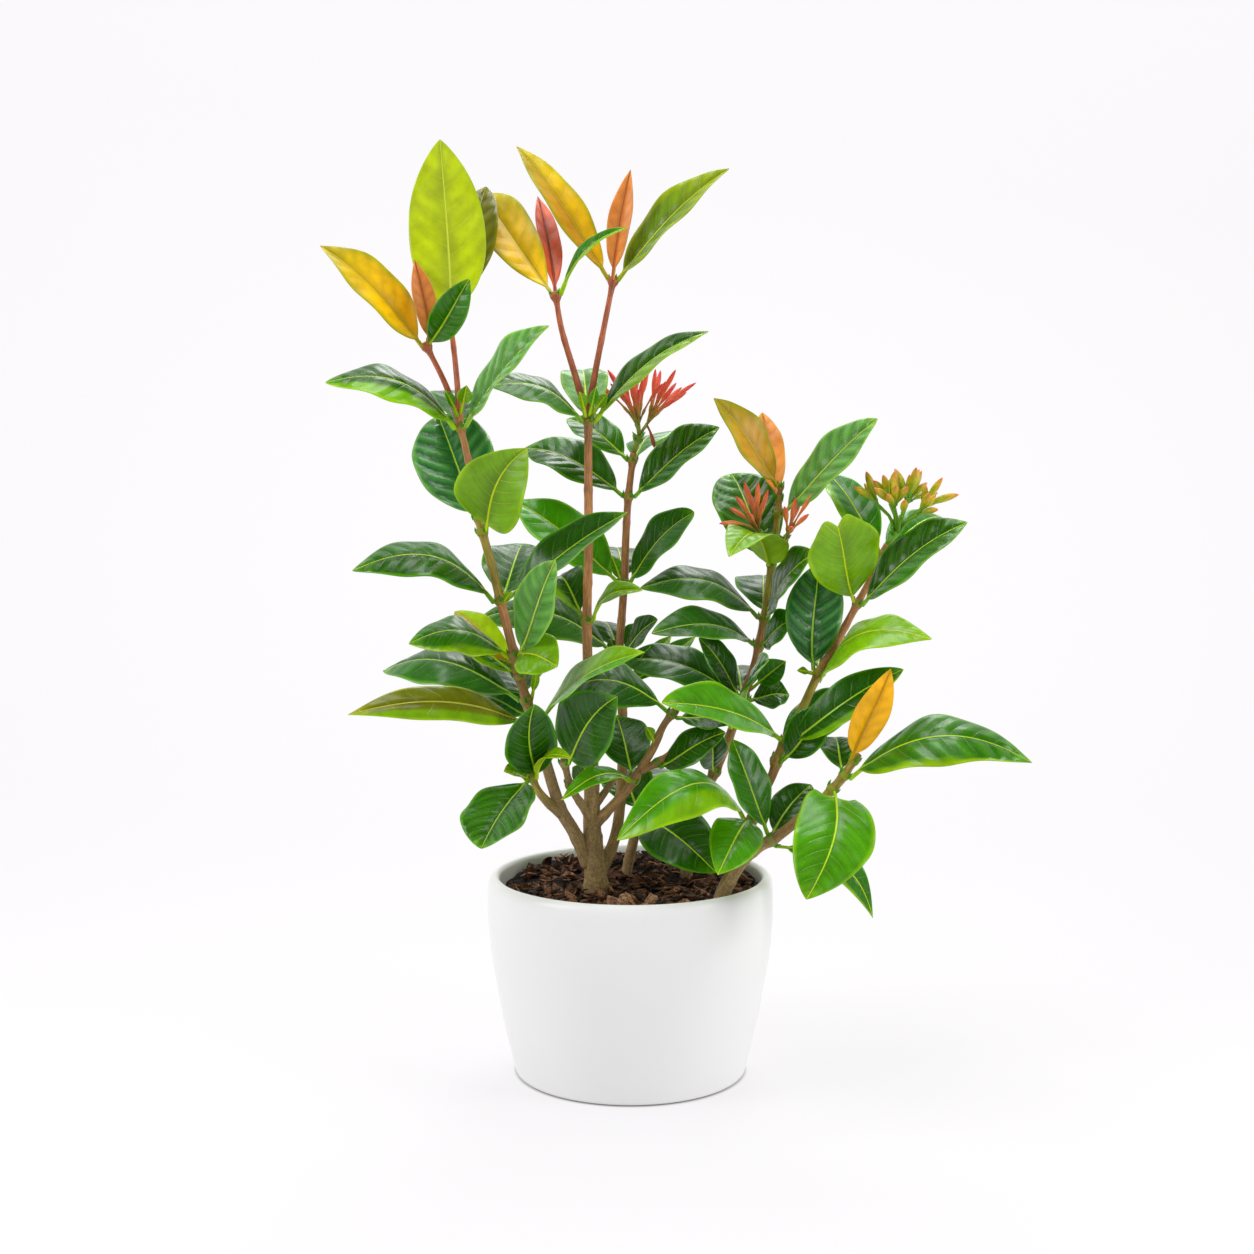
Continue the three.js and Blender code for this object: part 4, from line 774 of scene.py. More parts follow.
def on_stem(stem, height):
    points, radii = STEM_LINES[stem]
    upper = min(max(int(np.searchsorted(points[:, 2], height)), 1), len(points) - 1)
    low, high = points[upper - 1], points[upper]
    share = (height - low[2]) / (high[2] - low[2])
    before, after = points[max(upper - 3, 0)], points[min(upper + 2, len(points) - 1)]
    return dict(point=low + (high - low) * share, along=unit(after - before),
                radius=radii[upper - 1] + (radii[upper] - radii[upper - 1]) * share)


def tone(stem, height):
    """Colour and age of a stem at a height."""
    stops = STEM_TONES.get(stem, [(0, BARK)])
    heights = [stop[0] for stop in stops]
    values = [(*colour, age) for _, (colour, age) in stops]
    return [float(np.interp(height, heights, column)) for column in zip(*values)]


NODE_LENGTH = 3.0
NODE_SWELL = 0.8
SCAR_STEP = 31
SCAR_PLAY = 5
SCAR_LENGTH = 2.0
SCAR_SHARE = 0.12                 # of the radius
FLARE_LENGTH = 9
FLARE_SHARE = 0.2
CAP = 0.3                         # a short narrower end
# How uneven a section is: waves round the stem, mm along it for a turn, and share of the radius
UNEVEN = [(2, 23, 0.035), (3, -11, 0.025), (5, 5, 0.02)]


def add_stem(shell, stem, rng):
    """A stem with swollen joints, old leaf scars and a slightly uneven section."""
    points, radii = STEM_LINES[stem]
    run = length_along(points)
    joints = [on_stem(s, h)["point"] for _, s, h, *_ in WHORLS if s == stem]
    swollen = radii.copy()
    for joint in joints:
        away = np.linalg.norm(points - joint, axis=1)
        swollen += NODE_SWELL * np.exp(-(away / NODE_LENGTH) ** 2)
    for scar in np.arange(SCAR_STEP / 2, run[-1], SCAR_STEP):
        place = scar + rng.uniform(-SCAR_PLAY, SCAR_PLAY)
        swollen += SCAR_SHARE * radii * np.exp(-((run - place) / SCAR_LENGTH) ** 2)
    swollen += FLARE_SHARE * radii[0] * np.exp(-run / FLARE_LENGTH)
    phases = rng.uniform(0, 6.28, 3)

    def uneven(angle, i):
        rough = 0.4 + tone(stem, points[min(i, len(points) - 1)][2])[3]
        return 1 + rough * sum(share * math.sin(waves * angle + run[i] / pitch + phase)
                               for (waves, pitch, share), phase in zip(UNEVEN, phases))

    line = [*points, points[-1] + unit(points[-1] - points[-2]) * CAP]
    widths = [*swollen, swollen[-1] * 0.6]
    run = np.append(run, run[-1] + CAP)
    vertices, faces, places = tube(line, widths, STEM_SIDES, uneven)
    tints = []
    for vertex in vertices:
        near = min((np.linalg.norm(vertex - joint) for joint in joints), default=99)
        darker = 1 - 0.3 * math.exp(-(near / 4) ** 2)
        red, green, blue, age = tone(stem, vertex[2])
        tints.append((red * darker, green * darker, blue * darker, age))
    shell.add(vertices, faces, tint=tints, grain=around(places, 3, run))


def make_stems():
    for node, stems in WOOD.items():
        rng = random_of(node)
        shell = Shell("tint", "grain")
        for stem in stems:
            add_stem(shell, stem, rng)
        shell.piece(f"{node}_wood", WOOD_MATERIAL, node, "wood")


# ---- leaves --------------------------------------------------------------------------------------
def half_width(t, row):
    widest, base, point = OUTLINES[row["outline"]]
    share = max(t - row["stalk"], 0) / (1 - row["stalk"])
    if row["notch"]:
        share *= 0.93
    inner = share < widest
    place = share / widest if inner else (1 - share) / (1 - widest)
    oval = (1 - (1 - place) ** 2.1) ** (base if inner else point)
    return max(row["width"] / 2 * oval, STALK_HALF_WIDTH * (1 - t), 0.12)


def midrib(start, direction, length, rise, outward, end):
    """A cubic curve and its slope, as functions of the share of the way."""
    first = start + direction * length / 3 + rise + outward * OUTSET
    second = start + direction * length * 2 / 3 + rise

    def point(t):
        return (start * (1 - t) ** 3 + 3 * first * t * (1 - t) ** 2
                + 3 * second * t ** 2 * (1 - t) + end * t ** 3)

    def slope(t):
        return unit((first - start) * (1 - t) ** 2 + 2 * (second - first) * t * (1 - t)
                    + (end - second) * t ** 2)

    return point, slope


def first_coat(row):
    return row["coat"].split("/")[0]


def half_coats(row, side):
    """The coats of the halves at -1 and +1. A second coat is that of the lower half."""
    upper, lower = first_coat(row), row["coat"].split("/")[-1]
    return (lower, upper) if np.dot(side, (0, -0.5, -1)) < 0 else (upper, lower)


def column_colours(row, side):
    """Upper, rim, vein and lower colour of each column of a blade, without and with its own coat."""
    halves = half_coats(row, side)
    main = [COATS[first_coat(row)] for _ in BLADE_COLUMNS]
    own = [COATS[halves[int(u > 0)]] for u in BLADE_COLUMNS]
    return [[np.array(values) for values in zip(*coats)] for coats in (main, own)]


def blade_faces(count, wide):
    """Faces of a closed sheet: an upper grid of count rows, a lower grid after it, and the rim."""
    size = wide * count
    faces = []
    for i in range(count - 1):
        for k in range(wide - 1):
            a, b = i * wide + k, i * wide + k + 1
            faces.append([a, b, b + wide, a + wide])
            faces.append([size + a + wide, size + b + wide, size + b, size + a])
        right, left = i * wide + wide - 1, i * wide
        faces.append([right, size + right, size + right + wide, right + wide])
        faces.append([left + wide, size + left + wide, size + left, left])
    for k in range(wide - 1):
        last = (count - 1) * wide + k
        faces.append([k + 1, k, size + k, size + k + 1])
        faces.append([last, last + 1, size + last + 1, size + last])
    return faces


def add_blade(shell, row, joint, phase, rng, rows=None):
    """A blade, row by row from its root in the collar to its tip, with its upper and lower face."""
    width, fold, stalk_share = row["width"], row["fold"], row["stalk"]
    end = np.array(row["tip"], float)
    outward = across(end - joint["point"], joint["along"])
    start = joint["point"] + outward * (joint["radius"] + COLLAR_PLAY + STALK_SEAT)
    length = np.linalg.norm(end - start)
    direction = unit(end - start)
    up = across(row["face"], direction)
    side = np.cross(direction, up)
    rise = (up * row["arch"] + side * row["bow"]) * length * 4 / 3
    point_at, slope_at = midrib(start, direction, length, rise, outward, end)
    plain_colours, own_colours = column_colours(row, side)
    large = width > SMALL_WIDTH
    spacing = length / (VEINS if large else SMALL_VEINS)
    rim_start, tip_start = TINGED_STARTS if first_coat(row) in TINGED else RIM_STARTS
    rows = rows or (BLADE_ROWS if large else SMALL_ROWS)
    lively = rng.uniform(0.92, 1.08, 3)
    u = BLADE_COLUMNS
    spread = abs(u)
    edge = np.where(spread == 1, 0.5, 1.0)
    wide = len(u)
    points, tints, vein_tints, blades, nerves = [], [], [], [], []
    run = 0.0
    before = None
    for place in [-1, *(1 - (1 - np.linspace(0, 1, rows)) ** 1.12)]:
        t = max(place, 0.0)
        point = point_at(t)
        if place < 0:
            point = point - outward * (COLLAR_PLAY + STALK_SEAT + ROOT_DEPTH)
        run += 0.0 if before is None else np.linalg.norm(point - before)
        before = point
        along = slope_at(t)
        normal = unit(np.cross(side, along))
        half = half_width(t, row)
        stalk = 1 - float(smooth(stalk_share - 0.03, stalk_share + 0.07, t))
        x = u * half
        wave = WAVE * width * np.sin(2 * math.pi * WAVES_PER_LEAF * t + phase + np.sign(u))
        lift = fold * half * spread ** 1.25 + wave * (half / width) * 2 * spread ** 2
        reach = abs(x) * (0.4 + 0.45 * spread)
        turn = (run - reach) / spacing + 0.4 * (x > 0)
        puff = np.abs(np.cos(math.pi * turn)) ** 0.8
        softly = (1 - stalk) * smooth(0.02, 0.25, spread) * (1 - spread ** 5) * float(smooth(0, 0.12, 1 - t))
        lift = lift + row["quilt"] * puff * softly
        lift = lift - GROOVE_DEPTH * np.exp(-(x / GROOVE_HALF_WIDTH) ** 2) * (1 - stalk) * min(half / 6, 1)
        rib = MIDRIB_DEPTH * (1 - t) * np.exp(-(x / MIDRIB_HALF_WIDTH) ** 2)
        body = float(smooth(0, 0.02, t - stalk_share))
        shift = -row["lobes"] * spread ** 1.6 * (1 - float(smooth(0, 0.28, t - stalk_share))) * body
        shift = shift + row["notch"] * 1.5 * np.sin(math.pi * spread) * float(smooth(0.72, 1, t))
        thick = stalk * STALK_THICKNESS * np.sqrt(1 - spread ** 2 * 0.85) + (1 - stalk) * BLADE_THICKNESS
        upright = (thick * edge / 2)[:, None] * normal
        middle = point + side * x[:, None] + normal * lift[:, None] + along * shift[:, None]
        points.append((middle + upright, middle - upright - normal * rib[:, None]))
        start_of_own = row["turned"] * (1 + 0.35 * t * t)
        own = smooth(start_of_own, start_of_own + 0.06, spread)[:, None] if row["turned"] else 1.0
        tops, rims, veins, unders = [a + (b - a) * own for a, b in zip(plain_colours, own_colours)]
        tops = tops + (rims - tops) * (0.85 * smooth(rim_start, 1.0, spread))[:, None]
        tip_share = 0.75 * float(smooth(tip_start, 1.05, t))
        top = tops + (rims - tops) * max(tip_share, 0.8 * stalk)
        under = unders + (rims - unders) * 0.6 * stalk
        tints.append((top * lively, under * lively))
        vein_tints.append(veins)
        blades.append(np.stack([x, np.full(wide, run), np.full(wide, max(half, 0.4))], 1))
        nerves.append(t)
    points, tints = (np.concatenate([layer[0] for layer in values] + [layer[1] for layer in values])
                     for values in (points, tints))
    corners = len(points)
    shell.add(points, blade_faces(len(nerves), wide),
              tint=np.concatenate([tints, np.full((corners, 1), row["quilt"])], 1),
              vein=np.concatenate([np.concatenate(vein_tints * 2), np.ones((corners, 1))], 1),
              blade=np.concatenate(blades * 2),
              nerve=[(t, spacing, upper) for upper in (1, 0) for t in nerves for _ in u])


SHEATH_LENGTH = 2.3
SHEATH_WALL = 0.65
SHEATH_RINGS = 7
STIPULES = 3
STIPULE_LENGTH = 4.2
STIPULE_RADII = [1.1, 0.8, 0]


def add_plain(shell, points, radii, sides, colour):
    """A plain tube in a shell of blades, with no veins on it."""
    vertices, faces, _ = tube(points, radii, sides)
    tint = [(*colour, 0.2)] * len(vertices)
    shell.add(vertices, faces, tint=tint, vein=tint, blade=[(5, 0, 10)] * len(vertices),
              nerve=[(0.5, 9.0, 0.0)] * len(vertices))


def add_sheath(shell, joint, wood, green, rng):
    """A short collar round the stem, with small pointed stipules that lie along it."""
    reach = np.linspace(-1, 1, SHEATH_RINGS)
    along, radius = joint["along"], joint["radius"]
    points = [joint["point"] + along * SHEATH_LENGTH * r for r in reach]
    radii = [radius + NODE_SWELL + SHEATH_WALL * math.sqrt(max(1 - r * r, 0)) - 0.3 for r in reach]
    add_plain(shell, points, radii, STEM_SIDES, blend(wood, green, 0.35))
    side = across((1, 0.3, 0.1), along)
    other = np.cross(along, side)
    for k in range(STIPULES):
        angle = 2 * math.pi * k / STIPULES + rng.uniform(0, 1.2)
        way = math.cos(angle) * side + math.sin(angle) * other
        foot = joint["point"] + way * (radius + 0.6)
        tip = foot + along * STIPULE_LENGTH + way * rng.uniform(0.8, 1.8)
        middle = (foot + tip) / 2 + way * 0.3
        add_plain(shell, [foot, middle, tip], STIPULE_RADII, 6, green)


def make_leaves():
    collars = set()
    slots = {part["node"]: part["material_slot"] for part in frame["record"]["subparts"]}
    for name, stem, height, *rows in WHORLS:
        joint = on_stem(stem, height)
        shell = Shell("tint", "vein", "blade", "nerve")
        rng = random_of(name)
        for i, row in enumerate(rows):
            add_blade(shell, row, joint, i * 2.1 + height, rng)
        if (stem, height) not in collars:
            add_sheath(shell, joint, tone(stem, height)[:3], COATS["bright"][0], rng)
        collars.add((stem, height))
        young = all(first_coat(row) in YOUNG_COATS for row in rows)
        replaced = name if name in slots else None
        shell.piece(f"{name}_blades", YOUNG if young else MATURE, replaced, slots.get(name, "leaf_dark"))


def make_shoots():
    """The small young leaves in the axils."""
    rng = random_of("shoots")
    shell = Shell("tint", "vein", "blade", "nerve")
    for foot, tip, width, coat in SHOOTS:
        way = unit(np.subtract(tip, foot))
        joint = dict(point=np.array(foot, float), along=across((0, 0, 1), way), radius=0)
        row = leaf(tip, width, 0.08, (0.2, -1, 0.5), 0.3, coat, outline="pointed", stalk=0.15, quilt=0.1)
        add_blade(shell, row, joint, width, rng, rows=SHOOT_ROWS)
    shell.piece("young_shoots", YOUNG, None, "leaf_lime")


# ---- heads of buds -------------------------------------------------------------------------------
HEAD_STALK_RADII = [1.8, 1.7, 1.8]
HUB_RADII = [1.2, 2, 0.9]
FORK_RADII = [1.25, 1.05, 1.2, 0.7]
BRACTS = 6
BRACT_LENGTH = 7
BRACT_RADII = [0.7, 1.2, 0]
GATHER_ROUNDS = 8
# Share of the length and radius: a short stalk, a small cup, a slim tube and a pointed head
BUD_OUTLINE = [
    (0.0, 0.8), (0.1, 0.72), (0.2, 0.75), (0.24, 1.15), (0.3, 1.2), (0.33, 0.8), (0.42, 0.85),
    (0.5, 1.1), (0.58, 1.65), (0.67, 2.15), (0.76, 2.3), (0.85, 2.0), (0.92, 1.4), (0.97, 0.7), (1.0, 0.0),
]
TINT_PLACES = [0.0, 0.3, 0.45, 0.68, 0.9, 0.99]
BUD_TINTS = {node: [linear(*colour) for colour in colours] for node, colours in {
    "head_red": [
        (124, 134, 36), (170, 128, 44), (212, 116, 58), (232, 100, 66), (230, 76, 56), (200, 40, 42)],
    "head_orange": [
        (132, 124, 40), (168, 122, 48), (214, 124, 60), (236, 130, 68), (238, 108, 60), (216, 66, 46)],
    "head_yellow": [
        (100, 154, 10), (110, 164, 10), (138, 172, 12), (176, 184, 16), (206, 174, 30), (232, 100, 50)],
}.items()}
# Heads with a dome of buds, as in the part, and how their stalks fork
HEADS = [
    dict(node="head_red", slot="bud_red", stem="back", hub=(6, 38, 404), axis=(0.1, -0.1, 1), count=19,
         widest=1.0, length=40, extra=11, lift=6, drop=3, cymes=3, fork=0.22, slim=0.58, plump=0.68),
    dict(node="head_yellow", slot="bud_yellow", stem="right_tall", hub=(168, 3, 350), axis=(0.15, -0.15, 1),
         count=19, widest=1.25, length=34, extra=12, lift=3, drop=9, cymes=8, fork=0.52, slim=0.36,
         plump=1.0),
]
# Orange buds, which stand apart in two bunches: hub, and the buds' tips
ORANGE_BUNCHES = [
    ((82, 24, 339), [
        (71.5, 18, 373), (61.6, 8, 357), (55.2, 4, 347), (80, 12, 373), (76, 24, 365), (84, 10, 362),
        (66, 14, 364), (87, 20, 368), (73, 4, 354),
    ]),
    ((98, 18, 336), [
        (104, 14, 363), (115.5, 10, 367), (111.5, 6, 353), (100.5, 0, 345), (108, 24, 362), (96, 6, 358),
    ]),
]
# A withered bud, which hangs under the red ones: steps down from the fork that it hangs from, radius
WITHERED = [((-0.5, 0, 1), 0.8), ((2, -1, -4), 0.7), ((3.4, -1.4, -8), 1.2), ((4.4, -1.6, -12), 1.5),
            ((4.8, -1.6, -15), 0)]
WITHERED_TINT = linear(158, 70, 36)


def gather(tips, count):
    """The tips, in groups of near neighbours."""
    tips = np.asarray(tips, float)
    order = np.argsort(tips[:, 0])
    centres = tips[order[np.linspace(0, len(tips) - 1, count).astype(int)]]
    for _ in range(GATHER_ROUNDS):
        nearest = np.linalg.norm(tips[:, None] - centres[None], axis=2).argmin(axis=1)
        centres = np.array([tips[nearest == k].mean(axis=0) if (nearest == k).any() else centres[k]
                            for k in range(count)])
    return [tips[nearest == k] for k in range(count) if (nearest == k).any()]


def dome(count, widest, length, axis, seed, spin=0.0):
    """Directions and lengths of buds in a dome round an axis, as the part places them."""
    draw = seeded(seed)
    turn = Vector((0, 0, 1)).rotation_difference(Vector(axis))
    buds = []
    for i in range(count):
        tilt = widest * math.sqrt((i + 0.5) / count)
        angle = i * GOLDEN_ANGLE + spin
        way = Vector((math.sin(tilt) * math.cos(angle), math.sin(tilt) * math.sin(angle), math.cos(tilt)))
        buds.append((np.array(turn @ way), length * (0.82 + 0.3 * next(draw))))
    return buds


def add_bud(shell, foot, tip, way, tints, slim, plump, rng):
    """A bud on its stalk, which leaves its foot in one way and bends to the tip. Its head takes all
    but the slim share of its length."""
    length = np.linalg.norm(tip - foot)
    turn = foot + unit(unit(tip - foot) + way * 0.7) * length * 0.45
    shares = [np.interp(share, (0, 0.5, 1), (0, slim, 1)) for share, _ in BUD_OUTLINE]
    points = [foot * (1 - s) ** 2 + 2 * turn * s * (1 - s) + tip * s ** 2 for s in shares]
    radii = [radius * (plump if share > 0.4 else 0.85) for share, radius in BUD_OUTLINE]

    def ribbed(angle, i):
        return 1 + 0.06 * math.cos(4 * angle) * (BUD_OUTLINE[i][0] > 0.5)

    vertices, faces, places = tube(points, radii, BUD_SIDES, ribbed)
    lively = rng.uniform(0.82, 1.12)
    tint = [(*(lively * float(np.interp(BUD_OUTLINE[i][0], TINT_PLACES, [t[k] for t in tints]))
               for k in range(3)), 1) for _, i in places]
    along = [share * length * 0.2 for share in shares]
    shell.add(vertices, faces, tint=tint, grain=around(places, 2, along))


def add_stalk(shell, points, radii, colour):
    vertices, faces, places = tube(points, radii, BUD_SIDES)
    grain = around(places, 2, range(len(points)))
    shell.add(vertices, faces, tint=[(*colour, 1)] * len(vertices), grain=grain)


def add_bunch(shell, node, foot, hub, axis, tips, cymes, fork, slim, plump, rng):
    """Buds from a hub to their tips, on a stalk that forks once, with a few bracts at its foot."""
    tints = BUD_TINTS[node]
    green = tints[0]
    leafy = blend(green, COATS["bright"][0], 0.6)
    upright = unit(axis)
    add_stalk(shell, [foot, foot + (hub - foot) * 0.5, hub], HEAD_STALK_RADII, green)
    add_stalk(shell, [hub - upright * 2, hub, hub + upright * 2], HUB_RADII, green)
    joint = hub
    for group in gather(tips, cymes):
        centre = group.mean(axis=0)
        joint = hub + (centre - hub) * fork
        turn = (hub + joint) / 2 + upright * np.linalg.norm(joint - hub) * 0.12
        add_stalk(shell, [hub, turn, joint, joint + (joint - turn) * 0.12], FORK_RADII, green)
        for tip in group:
            way = unit(unit(joint - hub) + upright * 0.5)
            add_bud(shell, joint, tip, way, tints, slim, plump * rng.uniform(0.85, 1.12), rng)
    for k in range(BRACTS):
        way = unit(across((*circle(1, k * GOLDEN_ANGLE), 0.01), upright) + upright * 1.1)
        start = foot + (hub - foot) * (0.5 + 0.08 * k)
        points = [start, start + way * (BRACT_LENGTH / 2), start + way * BRACT_LENGTH]
        add_stalk(shell, points, BRACT_RADII, leafy)
    return joint


def make_heads():
    for head in HEADS:
        node, axis, count, extra = (head[key] for key in ("node", "axis", "count", "extra"))
        widest, length = head["widest"], head["length"]
        shell = Shell("tint", "grain")
        foot = np.array(STEMS[head["stem"]][-1][:3], float)
        centre = np.array(head["hub"], float)
        upright = unit(axis)
        buds = dome(count, widest, length, axis, count)
        buds += dome(extra, widest * 0.92, length * 0.84, axis, extra, 1.3)
        tips = [centre + way * reach + upright * head["lift"] for way, reach in buds]
        last_fork = add_bunch(shell, node, foot, centre - upright * head["drop"], axis, tips, head["cymes"],
                              head["fork"], head["slim"], head["plump"], random_of(node))
        if node == "head_red":
            line = [last_fork + step for step, _ in WITHERED]
            add_stalk(shell, line, [radius for _, radius in WITHERED], WITHERED_TINT)
        shell.piece(f"{node}_buds", BUD_MATERIAL, node, head["slot"])
    foot = on_stem("middle", 334)["point"]
    shell = Shell("tint", "grain")
    for hub, tips in ORANGE_BUNCHES:
        add_bunch(shell, "head_orange", foot, np.array(hub, float), (0.05, -0.3, 1), tips, 1, 0.08, 0.52, 0.7,
                  random_of(str(hub)))
    shell.piece("head_orange_buds", BUD_MATERIAL, "head_orange", "bud_orange")


# ---- bark mix ------------------------------------------------------------------------------------
SOIL_RINGS = 44
SOIL_SPOKES = 120
SHARDS = 680
LARGE_SHARDS = 90
FIBRES = 260
FIBRE_RADII = [0.25, 0.6, 0.7, 0.55, 0.2]
SOIL_SINK = 1.4                   # of the ground below its nominal height, where the shards lie
SOIL_TINTS = [
    linear(34, 20, 12), linear(78, 48, 30), linear(122, 78, 50), linear(174, 122, 84), linear(214, 164, 124),
]
# Chunks that stand up at the back: x, y, height of the top, length
SPIKES = [
    (-55, 43, 128.5, 13), (-35, 52, 129, 14), (-46, 50, 126.5, 12), (-66, 30, 125.5, 12), (-12, 56, 127, 12),
]
# Large chunks in front: x, y, length
BOLD_SHARDS = [
    (-8, -60, 18), (12, -52, 17), (30, -62, 16), (-32, -62, 15), (18, -70, 14), (44, -52, 15), (-2, -46, 15),
]


def soil_height(x, y):
    lumps = np.sin(x / 9 + 1) * np.cos(y / 8) + 0.7 * np.sin((x + y) / 6)
    away = np.hypot(x - MOUND[0], y - MOUND[1]) / MOUND[3]
    mound = MOUND[2] * np.exp(-(away ** 2))
    edge = EDGE_DROP * (np.hypot(x, y) / MOUTH_RADIUS) ** 2
    slope = FRONT_RIGHT_RISE * (x - y) + BACK_RISE * smooth(-10, 60, y)
    return float(SOIL_LEVEL + lumps + mound - edge + slope)


def spin_matrix(rng, tilt):
    z, x, y = rng.uniform(0, 2 * math.pi), rng.normal(0, tilt), rng.normal(0, tilt)
    roll = np.array([[1, 0, 0], [0, math.cos(x), math.sin(x)], [0, -math.sin(x), math.cos(x)]])
    pitch = np.array([[math.cos(y), 0, math.sin(y)], [0, 1, 0], [-math.sin(y), 0, math.cos(y)]])
    yaw = np.array([[math.cos(z), math.sin(z), 0], [-math.sin(z), math.cos(z), 0], [0, 0, 1]])
    return roll @ pitch @ yaw


def shard(rng, length):
    """A splinter of bark: the hull of points shaken about in a flat, long box, torn at its ends."""
    work = bmesh.new()
    size = np.array([length, length * rng.uniform(0.3, 0.62), length * rng.uniform(0.14, 0.3)]) / 2
    for _ in range(18):
        corner = rng.uniform(-1, 1, 3)
        corner = np.sign(corner) * abs(corner) ** 0.45
        corner[0] *= rng.uniform(0.7, 1.1)
        work.verts.new(corner * size)
    bmesh.ops.convex_hull(work, input=work.verts)
    bmesh.ops.delete(work, geom=[v for v in work.verts if not v.link_faces], context="VERTS")
    bmesh.ops.triangulate(work, faces=work.faces)
    bmesh.ops.subdivide_edges(work, edges=work.edges, cuts=1)
    bmesh.ops.triangulate(work, faces=work.faces)
    work.verts.index_update()
    points = np.array([v.co[:] for v in work.verts])
    faces = [[v.index for v in f.verts] for f in work.faces]
    work.free()
    return points + rng.normal(0, 1, points.shape) * length * (0.012, 0.02, 0.022), faces


def scatter(rng, reach):
    """A place in a circle, with as many to each part of its area."""
    spot = reach * math.sqrt(rng.uniform())
    return circle(spot, rng.uniform(0, 2 * math.pi))


def lay(shell, points, faces, turn, place, tint, grain):
    shell.add(points @ turn + place, faces, tint=[(*tint, 1)] * len(points), grain=grain)


def make_ground(shell, rng):
    """The surface under the loose pieces, as a disc."""
    points = [(0, 0, soil_height(0, 0))]
    for ring in range(1, SOIL_RINGS + 1):
        for spoke in range(SOIL_SPOKES):
            x, y = circle(MOUTH_RADIUS * ring / SOIL_RINGS, 2 * math.pi * spoke / SOIL_SPOKES)
            points.append((x, y, soil_height(x, y) - SOIL_SINK + rng.normal(0, 0.5)))

    def at(ring, spoke):
        return 1 + (ring - 1) * SOIL_SPOKES + spoke % SOIL_SPOKES

    faces = []
    for spoke in range(SOIL_SPOKES):
        faces.append([0, at(1, spoke), at(1, spoke + 1)])
        for ring in range(1, SOIL_RINGS):
            faces.append([at(ring, spoke), at(ring + 1, spoke), at(ring + 1, spoke + 1), at(ring, spoke + 1)])
    shell.add(points, faces, tint=[(*SOIL_TINTS[0], 1)] * len(points), grain=points)


def make_soil():
    rng = random_of("bark")
    shell = Shell("tint", "grain")
    make_ground(shell, rng)
    for i in range(SHARDS):
        large = i < LARGE_SHARDS
        length = rng.uniform(9, 16) if large else rng.uniform(3.5, 9)
        x, y = scatter(rng, MOUTH_RADIUS - length / 2 - 1)
        points, faces = shard(rng, length)
        turn = spin_matrix(rng, 0.4)
        light = rng.uniform(0, 2.4) + (0.9 if large and y < 0 else 0)
        tint = blend(SOIL_TINTS[int(light)], SOIL_TINTS[int(light) + 1], light % 1)
        place = (x, y, soil_height(x, y) + length * 0.06)
        lay(shell, points, faces, turn, place, tint, points + (7 * i, 0, 0))
    for i, (x, y, top, length) in enumerate(SPIKES):
        points, faces = shard(rng, length)
        upended = points[:, [1, 2, 0]] * (1.2, 1.2, 1)
        place = (x, y, top - length / 2)
        lay(shell, upended, faces, spin_matrix(rng, 0.25), place, SOIL_TINTS[1], points + (0, 9 * i, 0))
    for i, (x, y, length) in enumerate(BOLD_SHARDS):
        points, faces = shard(rng, length)
        turn = spin_matrix(rng, 0.25)
        tint = blend(SOIL_TINTS[2], SOIL_TINTS[4], rng.uniform(0.3, 0.8))
        place = (x, y, soil_height(x, y) + length * 0.12)
        lay(shell, points * (1, 1.2, 1.7), faces, turn, place, tint, points + (0, 0, 9 * i))
    for _ in range(FIBRES):
        x, y = scatter(rng, MOUTH_RADIUS - 7)
        length = rng.uniform(4, 12)
        bow = rng.uniform(-0.2, 0.2)
        line = [((k / 4 - 0.5) * length, bow * length * (1 - (k / 2 - 1) ** 2), 0) for k in range(5)]
        points, faces, _ = tube(line, FIBRE_RADII, 5)
        turn = spin_matrix(rng, 0.35)
        tint = blend(SOIL_TINTS[1], SOIL_TINTS[3], rng.uniform())
        lay(shell, np.array(points), faces, turn, (x, y, soil_height(x, y) + 1.6), tint, points)
    shell.piece("bark_mix_shards", BARK_MATERIAL, "bark_mix", "bark", flat=True)


# ---- pot -----------------------------------------------------------------------------------------
POT_OUTSIDE = [
    (BASE_RADIUS, 0), (73, 1.4), (74.4, 7), (79.8, 30), (83.9, 52.5), (87.8, 75.5),
    (RIM_RADIUS, 101), (RIM_RADIUS, 115), (89.6, 121.5), (88.3, 125), (86, POT_HEIGHT),
]
POT_INSIDE = [
    (83.9, 126.2), (82.9, 124.6), (MOUTH_RADIUS, 121), (82, 98), (77, 54), (71, 20), (66, FLOOR_THICKNESS),
]
POT_SEGMENTS = 144
POT_STEP = 1.6
FOOT_HOLLOW = 0.8                 # of the underside inside its foot ring
FOOT_RING = (8, 6)                # how far in the ring's two inner edges lie


def make_pot():
    wall, _ = spline([(r, 0, z, 1) for r, z in [*POT_OUTSIDE[1:], *POT_INSIDE]], POT_STEP)
    hollow_edge, ring_edge = (BASE_RADIUS - step for step in FOOT_RING)
    outline = [(0, FOOT_HOLLOW), (hollow_edge, FOOT_HOLLOW), (ring_edge, 0), (BASE_RADIUS, 0),
               *wall[:, [0, 2]], (0, FLOOR_THICKNESS)]
    points = []
    rings = []
    for radius, height in outline:
        radius, height = min(radius, RIM_RADIUS), min(height, POT_HEIGHT)
        corners = POT_SEGMENTS if radius > 0 else 1
        rings.append(range(len(points), len(points) + corners))
        points += [(*circle(radius, 2 * math.pi * k / POT_SEGMENTS), height) for k in range(corners)]
    shell = Shell()
    shell.add(points, skin(rings, POT_SEGMENTS))
    shell.piece("pot_glazed", GLAZE, "pot", "glaze")


